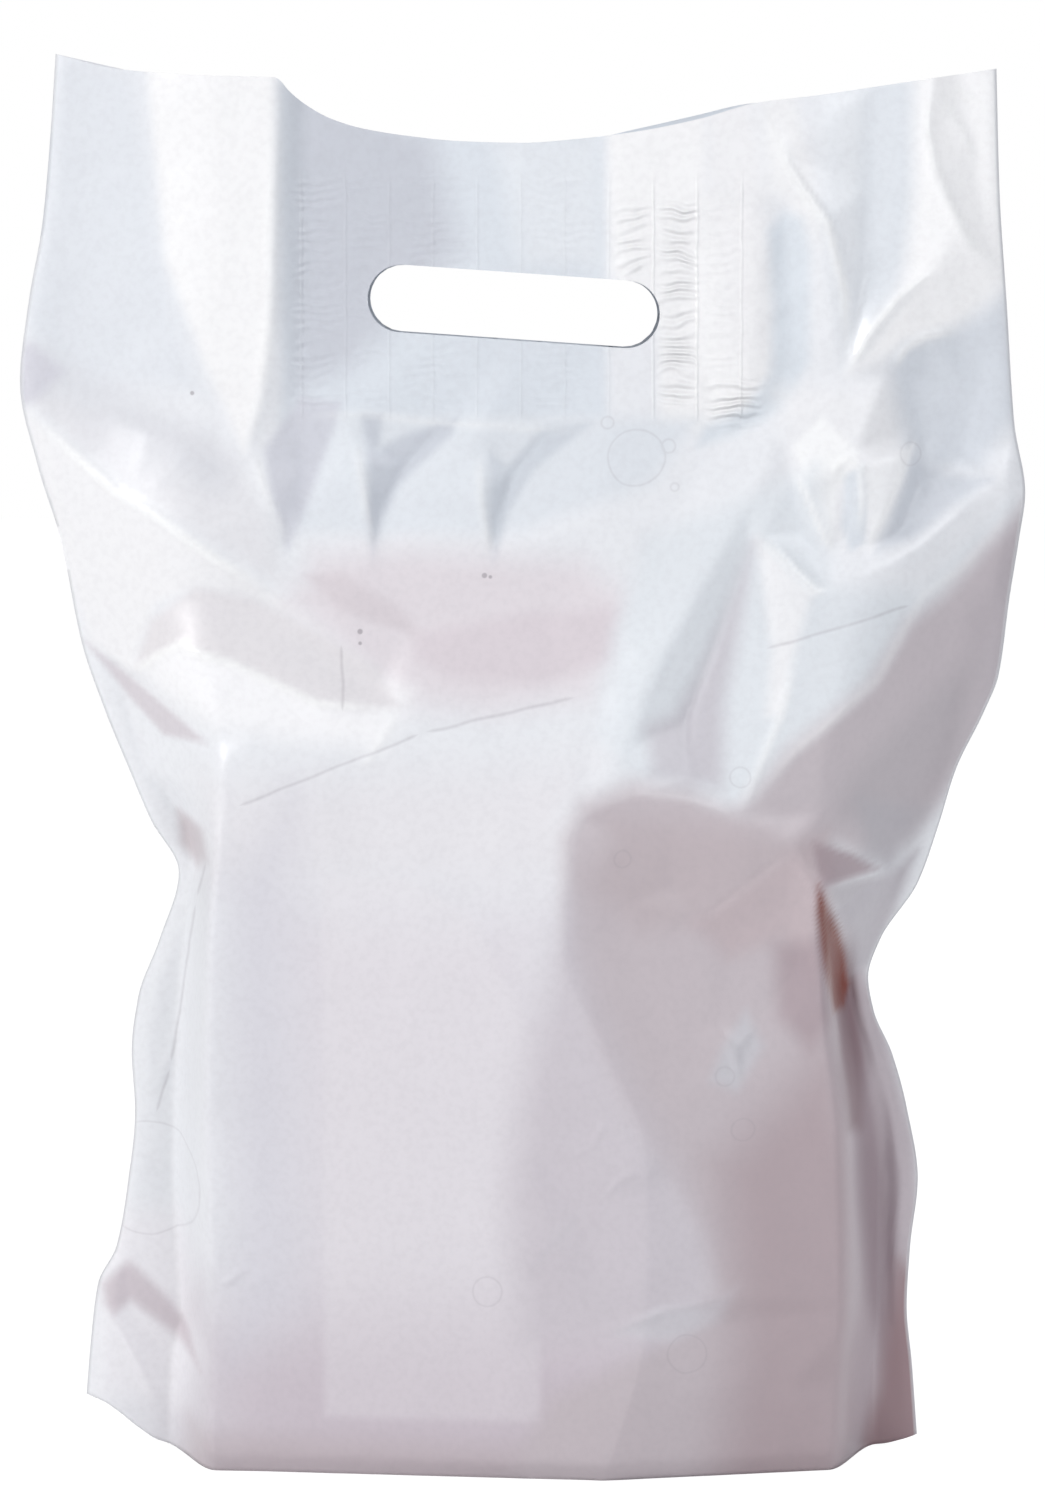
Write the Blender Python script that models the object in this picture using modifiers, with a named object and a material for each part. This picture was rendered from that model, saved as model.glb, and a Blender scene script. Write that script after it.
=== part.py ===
"""Plastic carrier bag with a die-cut handle, standing up, filled out below and flatter above.

The bag is one tube of blown film, welded shut along the bottom, with a slot punched through both walls.
A reinforcing patch of the same film is glued inside each wall around the slot. Lengths are in metres,
+Z is up and the front wall faces -Y. Lists of places along the film are in millimetres: x to the right,
z up from the floor, and depth or lift away from the plane of the two side folds.
"""
import math

import bmesh
import bpy
from mathutils import Vector
from mathutils.bvhtree import BVHTree
from mathutils.geometry import delaunay_2d_cdt

MM = 0.001

# Film
FILM_THICKNESS = 0.2 * MM
PATCH_THICKNESS = 0.2 * MM
GLUE_GAP = 0.3 * MM

# Handle slot and the patches around it
SLOT_LENGTH = 100.0 * MM
SLOT_HEIGHT = 23.0 * MM
HANDLE_X = -3.0 * MM
HANDLE_Z = 400.5 * MM
HANDLE_TILT = math.radians(-4.0)
PATCH_WIDTH = 165.0 * MM
PATCH_HEIGHT = 76.0 * MM
PATCH_CORNER = 5.0 * MM
PATCH_OFFSET_X = 5.0 * MM

# Side folds of the tube
FOLD_HALF_THICKNESS = 2.0 * MM
FOLD_ROLL = 2.5 * MM
FOLD_INSET = 3.0 * MM
WELD_REACH = 0.05 * MM
BODY_TOP = 236.0 * MM

# Relief of the walls: how much of each drawn lift stays once the film has relaxed, how wide it fades out
# beside the side folds, and the width over which a wall's turn from its foremost corner is measured
RELIEF_SHARE = 0.75
RELIEF_FADE = 7.0 * MM
RELIEF_CEILING = 100.0 * MM
TURN_WIDTH = 100.0 * MM

# How closely the film is divided, how far past its edges the grids of places reach, and how much of the
# spacing a place of a grid keeps clear of the lines drawn by hand
FRONT_SPACING = 14.0 * MM
BACK_SPACING = 22.0 * MM
ANCHOR_SPACING = 30.0 * MM
GRID_HALF_WIDTH = 240.0 * MM
GRID_TOP = 540.0 * MM
ROW_PITCH = math.sqrt(3) / 2
ANCHOR_CLEARANCE = 0.6
GRID_CLEARANCE = 0.55
EDGE_CLEARANCE = 0.4
MERGE_DISTANCE = 0.01 * MM
PATCH_CORNER_STEPS = 2
PUNCH_END_STEPS = 12

FILM_COLOUR = (0.83, 0.84, 0.87, 1.0)
FILM_ROUGHNESS = 0.35
PATCH_COLOUR = (0.78, 0.81, 0.85, 1.0)
PATCH_ROUGHNESS = 0.4

# Side folds of the tube, from the bottom corners to the mouth, as (z, x)
LEFT_FOLD = [
    (18, -154), (40, -152), (58, -149.5), (71, -143), (92, -139), (120, -136), (140, -137), (160, -134.5),
    (180, -127), (204, -120), (222, -129.5), (240, -137), (260, -145), (284, -153), (320, -160),
    (345, -167.5), (374, -173.5), (400, -170.5), (430, -165), (460, -162), (486.5, -160),
]
RIGHT_FOLD = [
    (3.5, 139.5), (29, 137.5), (50, 135.5), (71, 136.5), (95, 139), (120, 135), (140, 129.5), (155, 123),
    (167, 121), (180, 124), (200, 136.5), (220, 143.5), (240, 149.5), (260, 159), (273, 164),
    (300, 167.5), (320, 170.5), (336, 173.5), (360, 169), (400, 166), (440, 163.5), (481.5, 162.5),
]

# Mouth of each wall, as (x, z)
FRONT_MOUTH = [
    (-160, 486.5), (-140, 481.5), (-120, 479.5), (-100, 478.5), (-84, 478), (-79, 473), (-74, 469),
    (-66, 464.5), (-55, 461), (-40, 458.5), (-20, 456.5), (0, 456), (20, 457.5), (40, 460), (60, 464),
    (80, 469.5), (100, 472), (120, 475), (140, 478), (162.5, 481.5),
]
BACK_MOUTH = [
    (-160, 486.5), (-130, 480), (-95, 474), (-60, 462), (-20, 456), (20, 457.5), (40, 461.5), (60, 466),
    (78, 470), (110, 472.5), (140, 477), (162.5, 481.5),
]

# Lower edge of both walls, from one bottom corner past the flat base to the other, as (x, z)
FOOT = [
    (-154, 18), (-148, 16), (-142, 12), (-136, 7), (-128, 2), (-118, 0), (118, 0), (127, 0.5), (134, 2),
    (139.5, 3.5),
]

# Front wall: how far its foremost upright corner stands out, and where that corner runs
FRONT_DEPTH = [
    (0, 48), (8, 53), (60, 55), (130, 54), (180, 51), (215, 47), (240, 38), (270, 28), (310, 21),
    (350, 17), (400, 13.5), (440, 11), (487, 8),
]
FRONT_CORNER = [(0, 28), (60, 42), (110, 42), (150, 28), (185, 14), (225, 16), (300, 20)]
FRONT_LEFT_TURN = [(0, 0.22), (215, 0.20), (270, 0.05), (487, 0.03)]
FRONT_RIGHT_TURN = [(0, 0.38), (215, 0.34), (270, 0.06), (487, 0.03)]

# Back wall, flatter than the front
BACK_DEPTH = [
    (0, 46), (8, 50), (60, 52), (130, 52), (180, 49), (215, 44), (240, 36), (270, 27), (310, 20),
    (350, 16), (400, 12.5), (440, 10.5), (487, 8),
]
BACK_CORNER = [(0, 10), (487, 0)]
BACK_TURN = [(0, 0.20), (215, 0.18), (270, 0.05), (487, 0.03)]

# Where the filled-out body starts beside each side fold and where it is full, as (z, start, full)
LEFT_SIDE = [
    (0, -126, -106), (60, -124, -106), (120, -123, -107), (180, -119, -106), (207, -117, -104),
    (240, -134, -100), (280, -150, -105), (340, -164, -110), (400, -167, -104), (487, -159, -100),
]
RIGHT_SIDE = [
    (0, 125, 106), (60, 129, 108), (120, 129, 106), (167, 119, 101), (200, 130, 100), (240, 146, 100),
    (280, 160, 105), (336, 170, 112), (400, 164, 104), (487, 161, 100),
]

# Folds of the front wall, each a line of (x, z, lift): lift is how far the fold stands proud of the wall
FRONT_FOLDS = {
    "panel_valley": [
        (-128, 478, 0), (-125, 440, -1), (-121, 400, -1.5), (-115, 385, -1.5), (-104, 367, -1),
    ],
    "panel_ridge": [(-84, 476, 6.5), (-85, 440, 6.5), (-86, 400, 6), (-89, 372, 4), (-94, 353, 1.5)],
    "panel_drop": [(-74, 470, -2), (-75, 440, -2.5), (-75, 400, -2.5), (-75, 376, -2)],
    "recess_middle": [(-35, 456, -2.5), (-35, 430, -3)],
    "recess_edge": [(26, 456, -3), (27, 436, -3.5), (29, 420, -3.5)],
    "patch_step": [(33, 456, -1.5), (34, 436, -1.5), (36, 420, -1.5)],
    "patch_crest": [(76, 466, 4), (79, 440, 4.5), (80, 412, 4), (79, 386, 3), (74, 366, 1.5)],
    "arch_hollow": [
        (88, 432, 1), (90, 418, -1.5), (91, 400, -2), (92, 382, -2), (86, 366, -2), (68, 356, -2),
    ],
    "arch_ridge": [
        (83, 469, 4), (86, 452, 6), (92, 438, 6), (100, 428, 6.5), (104, 414, 6), (107, 395, 4),
    ],
    "fork_left": [(107, 395, 4), (110, 376, 0)],
    "panel_hollow": [(120, 474, -2), (119, 440, -3), (117, 410, -3), (113, 390, -2)],
    "fork_right": [(110, 376, 0), (118, 392, 4), (130, 405, 6), (142, 414, 7)],
    "gloss_fold": [(140, 477, 5), (138, 460, 6), (141, 445, 7), (149, 428, 7), (142, 414, 7)],
    "corner_fold": [(142, 414, 7), (153, 417, 5), (161, 415, 2)],
    "corner_hollow": [(150, 474, -1), (156, 462, -1.5), (157, 440, -1)],
    "side_crease": [(126, 378, -1), (131, 386, 2), (138, 390, 2.5), (150, 394, 1), (160, 404, 0)],
    "side_hollow": [(134, 380, -5), (136, 360, -6), (135, 340, -6)],
    "side_hollow_2": [(152, 372, -2), (153, 356, -4), (152, 346, -4)],
    "pucker_1": [(-79, 364, -2), (-75, 346, -3.5), (-76, 330, -3)],
    "pucker_2": [(-27, 360, -2), (-40, 346, -3.5), (-47, 332, -3.5)],
    "pucker_3": [(8, 357, -2), (-3, 343, -3.5), (-8, 328, -3)],
    "pucker_ridge_1": [(-91, 346, 2), (-86, 334, 2.5), (-80, 319, 0)],
    "pucker_ridge_2": [(-58, 362, 0.5), (-55, 345, 3), (-53, 330, 2.5), (-51, 317, 0)],
    "pucker_ridge_3": [(-15, 356, 0.5), (-15, 338, 3), (-13, 326, 2), (-11, 315, 0)],
    "left_shadow": [
        (-164, 380, -1.5), (-152, 372, -2.5), (-139, 361, -3), (-118, 353, -3), (-104, 348, -2),
    ],
    "left_ridge": [
        (-166, 363, 1.5), (-155, 352, 3.5), (-140, 338, 5), (-124, 328, 5.5), (-108, 322, 5),
        (-85, 313, 3.5),
    ],
    "left_ridge_end": [(-85, 313, 3.5), (-62, 298, 1)],
    "crescent": [
        (-132, 286, -1), (-125, 297, -2), (-111, 303, -2.5), (-88, 297, -3), (-66, 281, -2.5),
        (-50, 271, -2),
    ],
    "cheek_ridge": [
        (-134, 275, 0), (-126, 281, 3.5), (-119, 286, 5), (-100, 281, 5), (-82, 275, 5), (-62, 266, 4.5),
    ],
    "cheek_end": [(-62, 266, 4.5), (-43, 265, 3.5), (-49, 252, 2.5), (-55, 244, 0.5)],
    "side_slit": [(-147, 281, -1), (-134, 271, -4), (-119, 260, -4), (-108, 254, -2.5)],
    "cheek_plane": [(-112, 268, 2.5), (-92, 255, 3), (-72, 249, 2)],
    "pocket": [(-118, 238, -1), (-118, 223, -8), (-113, 212, -3)],
    "pocket_rim": [(-107, 238, 2), (-108, 222, 3), (-110, 207, 2)],
    "side_line": [(-112, 196, 2), (-115, 178, 2.5), (-119, 158, 2.5), (-123, 140, 2)],
    "centre_hollow": [(-36, 293, -3), (-14, 296, -3.5), (6, 292, -4), (14, 278, -3.5)],
    "band_ridge": [(78, 335, 2.5), (60, 304, 4.5), (44, 275, 5), (35, 250, 3.5)],
    "band_foot": [(42, 315, -1), (34, 290, -1.5), (26, 262, -1)],
    "band_valley": [(78, 320, -1), (71, 300, -2.5), (61, 275, -4), (55, 259, -4), (58, 242, -2)],
    "cone_ridge": [
        (81, 322, 3.5), (90, 313, 4.5), (100, 304, 5), (96, 288, 5), (91, 272, 5), (84, 254, 4.5),
        (74, 228, 3),
    ],
    "cone_shade": [(93, 341, -1), (98, 322, -3), (104, 307, 1)],
    "quad_ridge": [
        (88, 358, 2), (97, 350, 4.5), (107, 346, 5), (111, 349, 6), (115, 346, 6), (116, 334, 4.5),
        (115, 320, 0),
    ],
    "quad_tip": [(97, 337, 4), (103, 323, 2), (106, 317, -1)],
    "quad_notch": [(108, 340, 0.5), (110, 326, -1)],
    "quad_edge": [(132, 349, 4), (123, 329, 3), (119, 320, 0)],
    "quad_shade": [(151, 342, -1), (141, 340, -3), (130, 325, -3)],
    "side_band": [(163, 339, 3), (150, 330, 4.5), (136, 319, 5), (120, 311, 5), (108, 306, 4)],
    "shoulder_edge": [
        (163, 323, 3), (150, 311, 4.5), (138, 301, 5), (122, 274, 5), (108, 262, 5), (93, 250, 5),
        (74, 228, 3),
    ],
    "shoulder_fall": [(152, 284, -0.5), (140, 262, -2), (122, 243, -2.5), (106, 231, -2.5)],
    "box_top": [(14, 218, 3), (20, 229, 4.5), (38, 236, 4.5), (56, 234, 4), (74, 227, 3)],
    "box_corner": [
        (14, 218, 3), (12, 200, 3.5), (14, 181, 3.5), (20, 165, 3.5), (30, 147, 3), (41, 127, 2),
        (53, 106, 1),
    ],
    "box_hollow": [
        (32, 222, -0.5), (50, 221, -1.5), (52, 205, -2), (33, 198, -0.5), (38, 172, -0.5), (52, 148, -1),
    ],
    "flap_crease": [(60, 193, 0.5), (76, 204, 2), (92, 216, 2.5)],
    "flap_hollow": [(74, 190, -1), (90, 196, -1), (96, 180, -1)],
    "side_wedge": [(104, 214, -5), (113, 212, -4), (123, 210, -1)],
    "wedge_lip": [(102, 206, 2), (112, 205, 2), (124, 203, 2)],
    "open_fold_lip": [
        (102, 200, 2), (102, 184, 3), (105, 164, 3), (109, 140, 3), (113, 115, 2.5), (115, 88, 2),
        (118, 60, 1.5),
    ],
    "open_fold": [
        (106, 193, -12), (111, 172, -15), (115, 150, -12), (120, 125, -9), (122, 100, -8), (124, 70, -7),
    ],
    "open_fold_foot": [(124, 70, -7), (127, 40, -5), (129, 20, -3)],
    "fin_ridge": [
        (116, 184, 3), (118, 162, 4), (123, 142, 5), (129, 120, 5), (132, 96, 4), (131, 70, 3),
        (131, 45, 2),
    ],
    "lower_diamond": [(66, 157, 0), (72, 150, 1.5), (79, 156, 0.5)],
    "lower_diamond_tip": [(72, 150, 1.5), (73, 141, 0)],
    "leaf_ridge": [(31, 54, 0), (50, 61, 2.5), (73, 65, 2.5)],
    "leaf_shade": [(52, 52, -1), (72, 56, -1)],
    "glint_1": [(1, 72, 0), (10, 84, 2), (19, 93, 0)],
    "glint_2": [(27, 99, 0), (38, 109, 2)],
    "ear_valley": [(-139, 70, -1), (-128, 58, -5), (-119, 45, -6), (-113, 33, -3)],
    "ear_ridge": [(-144, 48, 2), (-136, 33, 3), (-128, 15, 2)],
    "ear_shade": [(-102, 64, -1.5), (-92, 70, -2), (-82, 68, -1)],
}

# Folds of the back wall in the same form, with x still to the right as seen from the front
BACK_FOLDS = {
    "mouth_fold": [(-70, 462, 3), (-66, 440, 3), (-72, 418, 1)],
    "mouth_hollow": [(-98, 474, -2), (-95, 440, -3), (-98, 400, -3)],
    "side_ridge": [(112, 472, 4), (104, 440, 5), (100, 400, 4), (108, 362, 1)],
    "side_hollow": [(134, 470, -2), (128, 430, -3), (124, 392, -3)],
    "pucker_1": [(62, 360, -3), (58, 345, -4), (60, 322, -2)],
    "pucker_2": [(20, 360, -3), (24, 342, -4), (22, 316, -2)],
    "pucker_ridge": [(42, 356, 1), (41, 338, 2.5), (43, 320, 0)],
    "pucker_3": [(-30, 364, -3), (-26, 345, -4), (-30, 318, -2)],
    "long_ridge": [(150, 350, 3), (128, 330, 6), (100, 308, 7), (72, 288, 5), (50, 270, 2)],
    "long_valley": [(158, 320, 0), (135, 300, -3), (108, 278, -4), (84, 258, -3)],
    "left_ridge": [(-158, 352, 3), (-136, 335, 6), (-108, 312, 7), (-80, 288, 6), (-64, 262, 3)],
    "left_valley": [(-150, 312, -1), (-128, 292, -4), (-104, 268, -4), (-96, 246, -2)],
    "mid_cone": [(-10, 330, 2), (-12, 300, 4), (-6, 268, 4), (-10, 238, 1)],
    "box_top": [(-92, 228, 3), (-40, 231, 4), (20, 232, 4), (80, 229, 3)],
    "waist_fold": [(-104, 212, -3), (-84, 206, -2), (-62, 208, 0)],
    "waist_fold_2": [(104, 196, -4), (84, 186, -3), (66, 184, 0)],
    "body_crease": [(-58, 178, 0), (-30, 150, 2.5), (4, 128, 2), (30, 96, 0)],
    "body_crease_2": [(70, 150, 0), (62, 116, 2.5), (40, 84, 0)],
    "low_crease": [(-90, 92, 0), (-70, 64, 2), (-44, 52, 0)],
    "ear_valley": [(-134, 64, -2), (-122, 48, -4), (-114, 30, -2)],
    "ear_valley_2": [(128, 58, -2), (122, 40, -4), (115, 24, -2)],
}


def value_on(points, at, column=1):
    """Value of a smooth line through the points at a given place: no overshoot, and level past its ends."""
    if at <= points[0][0]:
        return points[0][column]
    if at >= points[-1][0]:
        return points[-1][column]
    i = max(k for k in range(len(points) - 1) if points[k][0] <= at)

    def rise(k):
        return (points[k + 1][column] - points[k][column]) / (points[k + 1][0] - points[k][0])

    def slope(k):
        if k in (0, len(points) - 1):
            return rise(min(k, len(points) - 2))
        before, after = rise(k - 1), rise(k)
        return 0.0 if before * after <= 0 else 2 * before * after / (before + after)

    run = points[i + 1][0] - points[i][0]
    t = (at - points[i][0]) / run
    start, end = points[i][column], points[i + 1][column]
    return (
        (2 * t**3 - 3 * t**2 + 1) * start
        + (t**3 - 2 * t**2 + t) * run * slope(i)
        + (3 * t**2 - 2 * t**3) * end
        + (t**3 - t**2) * run * slope(i + 1)
    )


def smooth_step(value):
    t = min(max(value, 0.0), 1.0)
    return t * t * (3 - 2 * t)


def resampled(points, spacing):
    """The line's own points, with more between them where they lie further apart than the spacing."""
    line = [Vector(points[0])]
    for end in map(Vector, points[1:]):
        start = line[-1]
        parts = max(1, math.ceil((end - start).length / spacing))
        line += [start.lerp(end, k / parts) for k in range(1, parts + 1)]
    return line


def curve_points(points, spacing, flipped=False):
    """Points along a smooth line through (at, value) pairs, as (x, z); flipped if the pairs are (z, x)."""
    places = resampled([(p[0], 0.0) for p in points], spacing)
    line = [(p.x, value_on(points, p.x)) for p in places]
    return [Vector((value, at)) for at, value in line] if flipped else [Vector(p) for p in line]


class Wall:
    """One wall of the tube: how far it stands out from the plane of the side folds, in millimetres."""

    def __init__(self, depth, corner, left_turn, right_turn, folds):
        self.depth_line = depth
        self.corner = corner
        self.left_turn = left_turn
        self.right_turn = right_turn
        self.folds = [resampled(line, FRONT_SPACING / MM) for line in folds.values()]
        self.relief = self.relief_surface()

    def relief_surface(self):
        """Flat facets between the fold lines, with level places where the wall has no fold."""
        points = [p for line in self.folds for p in line]
        step = ANCHOR_SPACING / MM
        half_columns = round(GRID_HALF_WIDTH / ANCHOR_SPACING)
        for row in range(-1, round(GRID_TOP / ANCHOR_SPACING) + 1):
            for column in range(-half_columns, half_columns + 1):
                place = Vector((column * step, row * step, 0.0))
                if all((place.xy - p.xy).length > ANCHOR_CLEARANCE * step for p in points):
                    points.append(place)
        lifts = [p.z for p in points]
        edges = []
        first = 0
        for line in self.folds:
            edges += [(first + k, first + k + 1) for k in range(len(line) - 1)]
            first += len(line)
        flat = delaunay_2d_cdt([p.xy for p in points], edges, [], 0, MERGE_DISTANCE / MM, True)
        places, triangles, came_from = flat[0], flat[2], flat[3]
        corners = [Vector((p.x, p.y, lifts[ids[0]] if ids else 0.0)) for p, ids in zip(places, came_from)]
        return BVHTree.FromPolygons(corners, triangles)

    def base_form(self, x, z):
        """The filled-out body and the flatter film above it, without the folds."""
        depth = value_on(self.depth_line, z)
        from_corner = (x - value_on(self.corner, z)) / (TURN_WIDTH / MM)
        turn = self.left_turn if from_corner < 0 else self.right_turn
        depth *= 1 - abs(from_corner) * value_on(turn, z)
        left_start, left_full = value_on(LEFT_SIDE, z), value_on(LEFT_SIDE, z, 2)
        right_start, right_full = value_on(RIGHT_SIDE, z), value_on(RIGHT_SIDE, z, 2)
        left = smooth_step((x - left_start) / (left_full - left_start))
        right = smooth_step((x - right_start) / (right_full - right_start))
        return depth * left * right

    def depth(self, x, z):
        edge = min(x - value_on(LEFT_FOLD, z), value_on(RIGHT_FOLD, z) - x)
        if edge < WELD_REACH / MM:
            return 0.0
        least = FOLD_HALF_THICKNESS / MM * (1 - math.exp(-edge * MM / FOLD_ROLL))
        hit = self.relief.ray_cast(Vector((x, z, RELIEF_CEILING / MM)), Vector((0.0, 0.0, -1.0)))[0]
        lift = RELIEF_SHARE * (hit.z if hit else 0.0) * smooth_step(edge * MM / RELIEF_FADE)
        return least + max(0.0, self.base_form(x, z) + lift)


def patch_outline():
    """Rounded rectangle around the slot, tilted with it, as (x, z) in millimetres."""
    half_width, half_height = PATCH_WIDTH / MM / 2, PATCH_HEIGHT / MM / 2
    radius = PATCH_CORNER / MM
    centre = Vector(((HANDLE_X + PATCH_OFFSET_X) / MM, HANDLE_Z / MM))
    points = []
    for quarter, (side, up) in enumerate([(1, 1), (-1, 1), (-1, -1), (1, -1)]):
        for step in range(PATCH_CORNER_STEPS + 1):
            angle = math.radians(90 * (quarter + step / PATCH_CORNER_STEPS))
            x = side * (half_width - radius) + radius * math.cos(angle)
            z = up * (half_height - radius) + radius * math.sin(angle)
            points.append(Vector((x, z)))
    turned = []
    for p in points:
        x = p.x * math.cos(HANDLE_TILT) - p.y * math.sin(HANDLE_TILT)
        z = p.x * math.sin(HANDLE_TILT) + p.y * math.cos(HANDLE_TILT)
        turned.append(centre + Vector((x, z)))
    return turned


def is_inside(outline, x, z):
    crossings = 0
    for start, end in zip(outline, outline[1:] + outline[:1]):
        if (start.y > z) != (end.y > z):
            crossings += x < start.x + (z - start.y) / (end.y - start.y) * (end.x - start.x)
    return crossings % 2 == 1


def wall_outline(mouth, spacing):
    """The wall's outline from the left bottom corner along the foot, up, along the mouth and down."""
    foot = curve_points(FOOT, FRONT_SPACING / MM)
    right = curve_points(RIGHT_FOLD, FRONT_SPACING / MM, flipped=True)
    top = curve_points(mouth, spacing)
    left = curve_points(LEFT_FOLD, FRONT_SPACING / MM, flipped=True)
    return foot[:-1] + right[:-1] + top[:0:-1] + left[:0:-1]


def body_edges():
    """Places along the four upright edges where the filled-out body meets its side walls."""
    heights = [p.x for p in resampled([(0.0, 0.0), (BODY_TOP / MM, 0.0)], FRONT_SPACING / MM)][1:]
    lines = [(side, column) for side in (LEFT_SIDE, RIGHT_SIDE) for column in (1, 2)]
    return [Vector((value_on(side, z, column), z)) for side, column in lines for z in heights]


def add_wall(mesh, wall, mouth, spacing, side):
    """Adds one wall's faces; side is -1 for the front and 1 for the back."""
    outline = wall_outline(mouth, spacing)
    lines = [resampled([(p.x, p.y, 0.0) for p in patch_outline() + patch_outline()[:1]], spacing)]
    lines += wall.folds
    inset = FOLD_INSET / MM
    z_low, z_high = inset + LEFT_FOLD[0][0], FRONT_MOUTH[0][1] - 2 * inset
    for fold, way in ((LEFT_FOLD, 1), (RIGHT_FOLD, -1)):
        beside = curve_points(fold, FRONT_SPACING / MM, flipped=True)
        lines.append([Vector((p.x + way * inset, p.y, 0.0)) for p in beside if z_low < p.y < z_high])
    points = [p.copy() for p in outline]
    edges = []
    for line in lines:
        first = len(points)
        points += [p.xy for p in line]
        edges += [(first + k, first + k + 1) for k in range(len(line) - 1)]
    points += [p for p in body_edges() if all((p - q).length > EDGE_CLEARANCE * spacing for q in points)]
    fixed = len(points)
    half_columns = math.ceil(GRID_HALF_WIDTH / MM / spacing)
    for row in range(1, math.ceil(GRID_TOP / MM / (ROW_PITCH * spacing))):
        for column in range(-half_columns, half_columns + 1):
            place = Vector(((column + 0.5 * (row % 2)) * spacing, row * spacing * ROW_PITCH))
            left, right = value_on(LEFT_FOLD, place.y), value_on(RIGHT_FOLD, place.y)
            inside = left + 2 * inset < place.x < right - 2 * inset
            below = value_on(mouth, place.x) - EDGE_CLEARANCE * spacing
            above = value_on(FOOT, place.x) + EDGE_CLEARANCE * spacing
            if not (inside and above < place.y < below):
                continue
            if all((place - p).length > GRID_CLEARANCE * spacing for p in points[:fixed]):
                points.append(place)
    edges += [(k, (k + 1) % len(outline)) for k in range(len(outline))]
    flat = delaunay_2d_cdt(points, edges, [], 0, MERGE_DISTANCE / MM, True)
    corners = []
    for place in flat[0]:
        depth = wall.depth(place.x, place.y)
        corners.append(mesh.verts.new((place.x * MM, side * depth * MM, place.y * MM)))
    for triangle in flat[2]:
        middle = sum((flat[0][k] for k in triangle), Vector((0.0, 0.0))) / 3
        if is_inside(outline, middle.x, middle.y):
            chosen = [corners[k] for k in triangle]
            mesh.faces.new(chosen if side < 0 else chosen[::-1])


def add_foot(mesh, front, back):
    """Closes the tube under the bag: flat film from each wall's lower edge to the weld in the middle."""
    places = curve_points(FOOT, FRONT_SPACING / MM)
    weld = [mesh.verts.new((p.x * MM, 0.0, p.y * MM)) for p in places]
    for wall, side in ((front, -1), (back, 1)):
        edge = [mesh.verts.new((p.x * MM, side * wall.depth(p.x, p.y) * MM, p.y * MM)) for p in places]
        for k in range(len(places) - 1):
            face = [edge[k], weld[k], weld[k + 1], edge[k + 1]]
            mesh.faces.new(face if side < 0 else face[::-1])


def film_surface():
    """The whole bag as one open surface, welded at its side folds and along the bottom."""
    front = Wall(FRONT_DEPTH, FRONT_CORNER, FRONT_LEFT_TURN, FRONT_RIGHT_TURN, FRONT_FOLDS)
    back = Wall(BACK_DEPTH, BACK_CORNER, BACK_TURN, BACK_TURN, BACK_FOLDS)
    mesh = bmesh.new()
    add_wall(mesh, front, FRONT_MOUTH, FRONT_SPACING / MM, -1)
    add_wall(mesh, back, BACK_MOUTH, BACK_SPACING / MM, 1)
    add_foot(mesh, front, back)
    bmesh.ops.remove_doubles(mesh, verts=mesh.verts[:], dist=2 * MERGE_DISTANCE)
    bmesh.ops.dissolve_degenerate(mesh, edges=mesh.edges[:], dist=MERGE_DISTANCE)
    bmesh.ops.triangulate(mesh, faces=mesh.faces[:])
    mesh.normal_update()
    return mesh


def new_object(name, mesh, collection):
    data = bpy.data.meshes.new(name)
    mesh.to_mesh(data)
    thing = bpy.data.objects.new(name, data)
    collection.objects.link(thing)
    return thing


def add_patch(film, name, side, collection):
    """A reinforcing patch: a copy of the wall's facets around the slot, glued to the wall's inner face."""
    mesh = bmesh.new()
    copies = {}
    outline = patch_outline()
    inward = FILM_THICKNESS + GLUE_GAP
    for face in film.faces:
        middle = face.calc_center_median()
        if middle.y * side <= 0 or not is_inside(outline, middle.x / MM, middle.z / MM):
            continue
        for corner in face.verts:
            if corner not in copies:
                copies[corner] = mesh.verts.new(corner.co - corner.normal * inward)
        mesh.faces.new([copies[corner] for corner in face.verts])
    patch = new_object(name, mesh, collection)
    mesh.free()
    return patch


def finish(thing, thickness, cutter, colour, roughness):
    """Gives the open surface its thickness towards the inside, punches the slot and adds the plastic."""
    shell = thing.modifiers.new("thickness", "SOLIDIFY")
    shell.thickness = thickness
    shell.offset = -1.0
    slot = thing.modifiers.new("slot", "BOOLEAN")
    slot.object = cutter
    slot.operation = "DIFFERENCE"
    slot.solver = "EXACT"
    plastic = bpy.data.materials.new(thing.name)
    plastic.use_nodes = True
    shader = plastic.node_tree.nodes["Principled BSDF"]
    shader.inputs["Base Color"].default_value = colour
    shader.inputs["Roughness"].default_value = roughness
    thing.data.materials.append(plastic)


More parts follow.
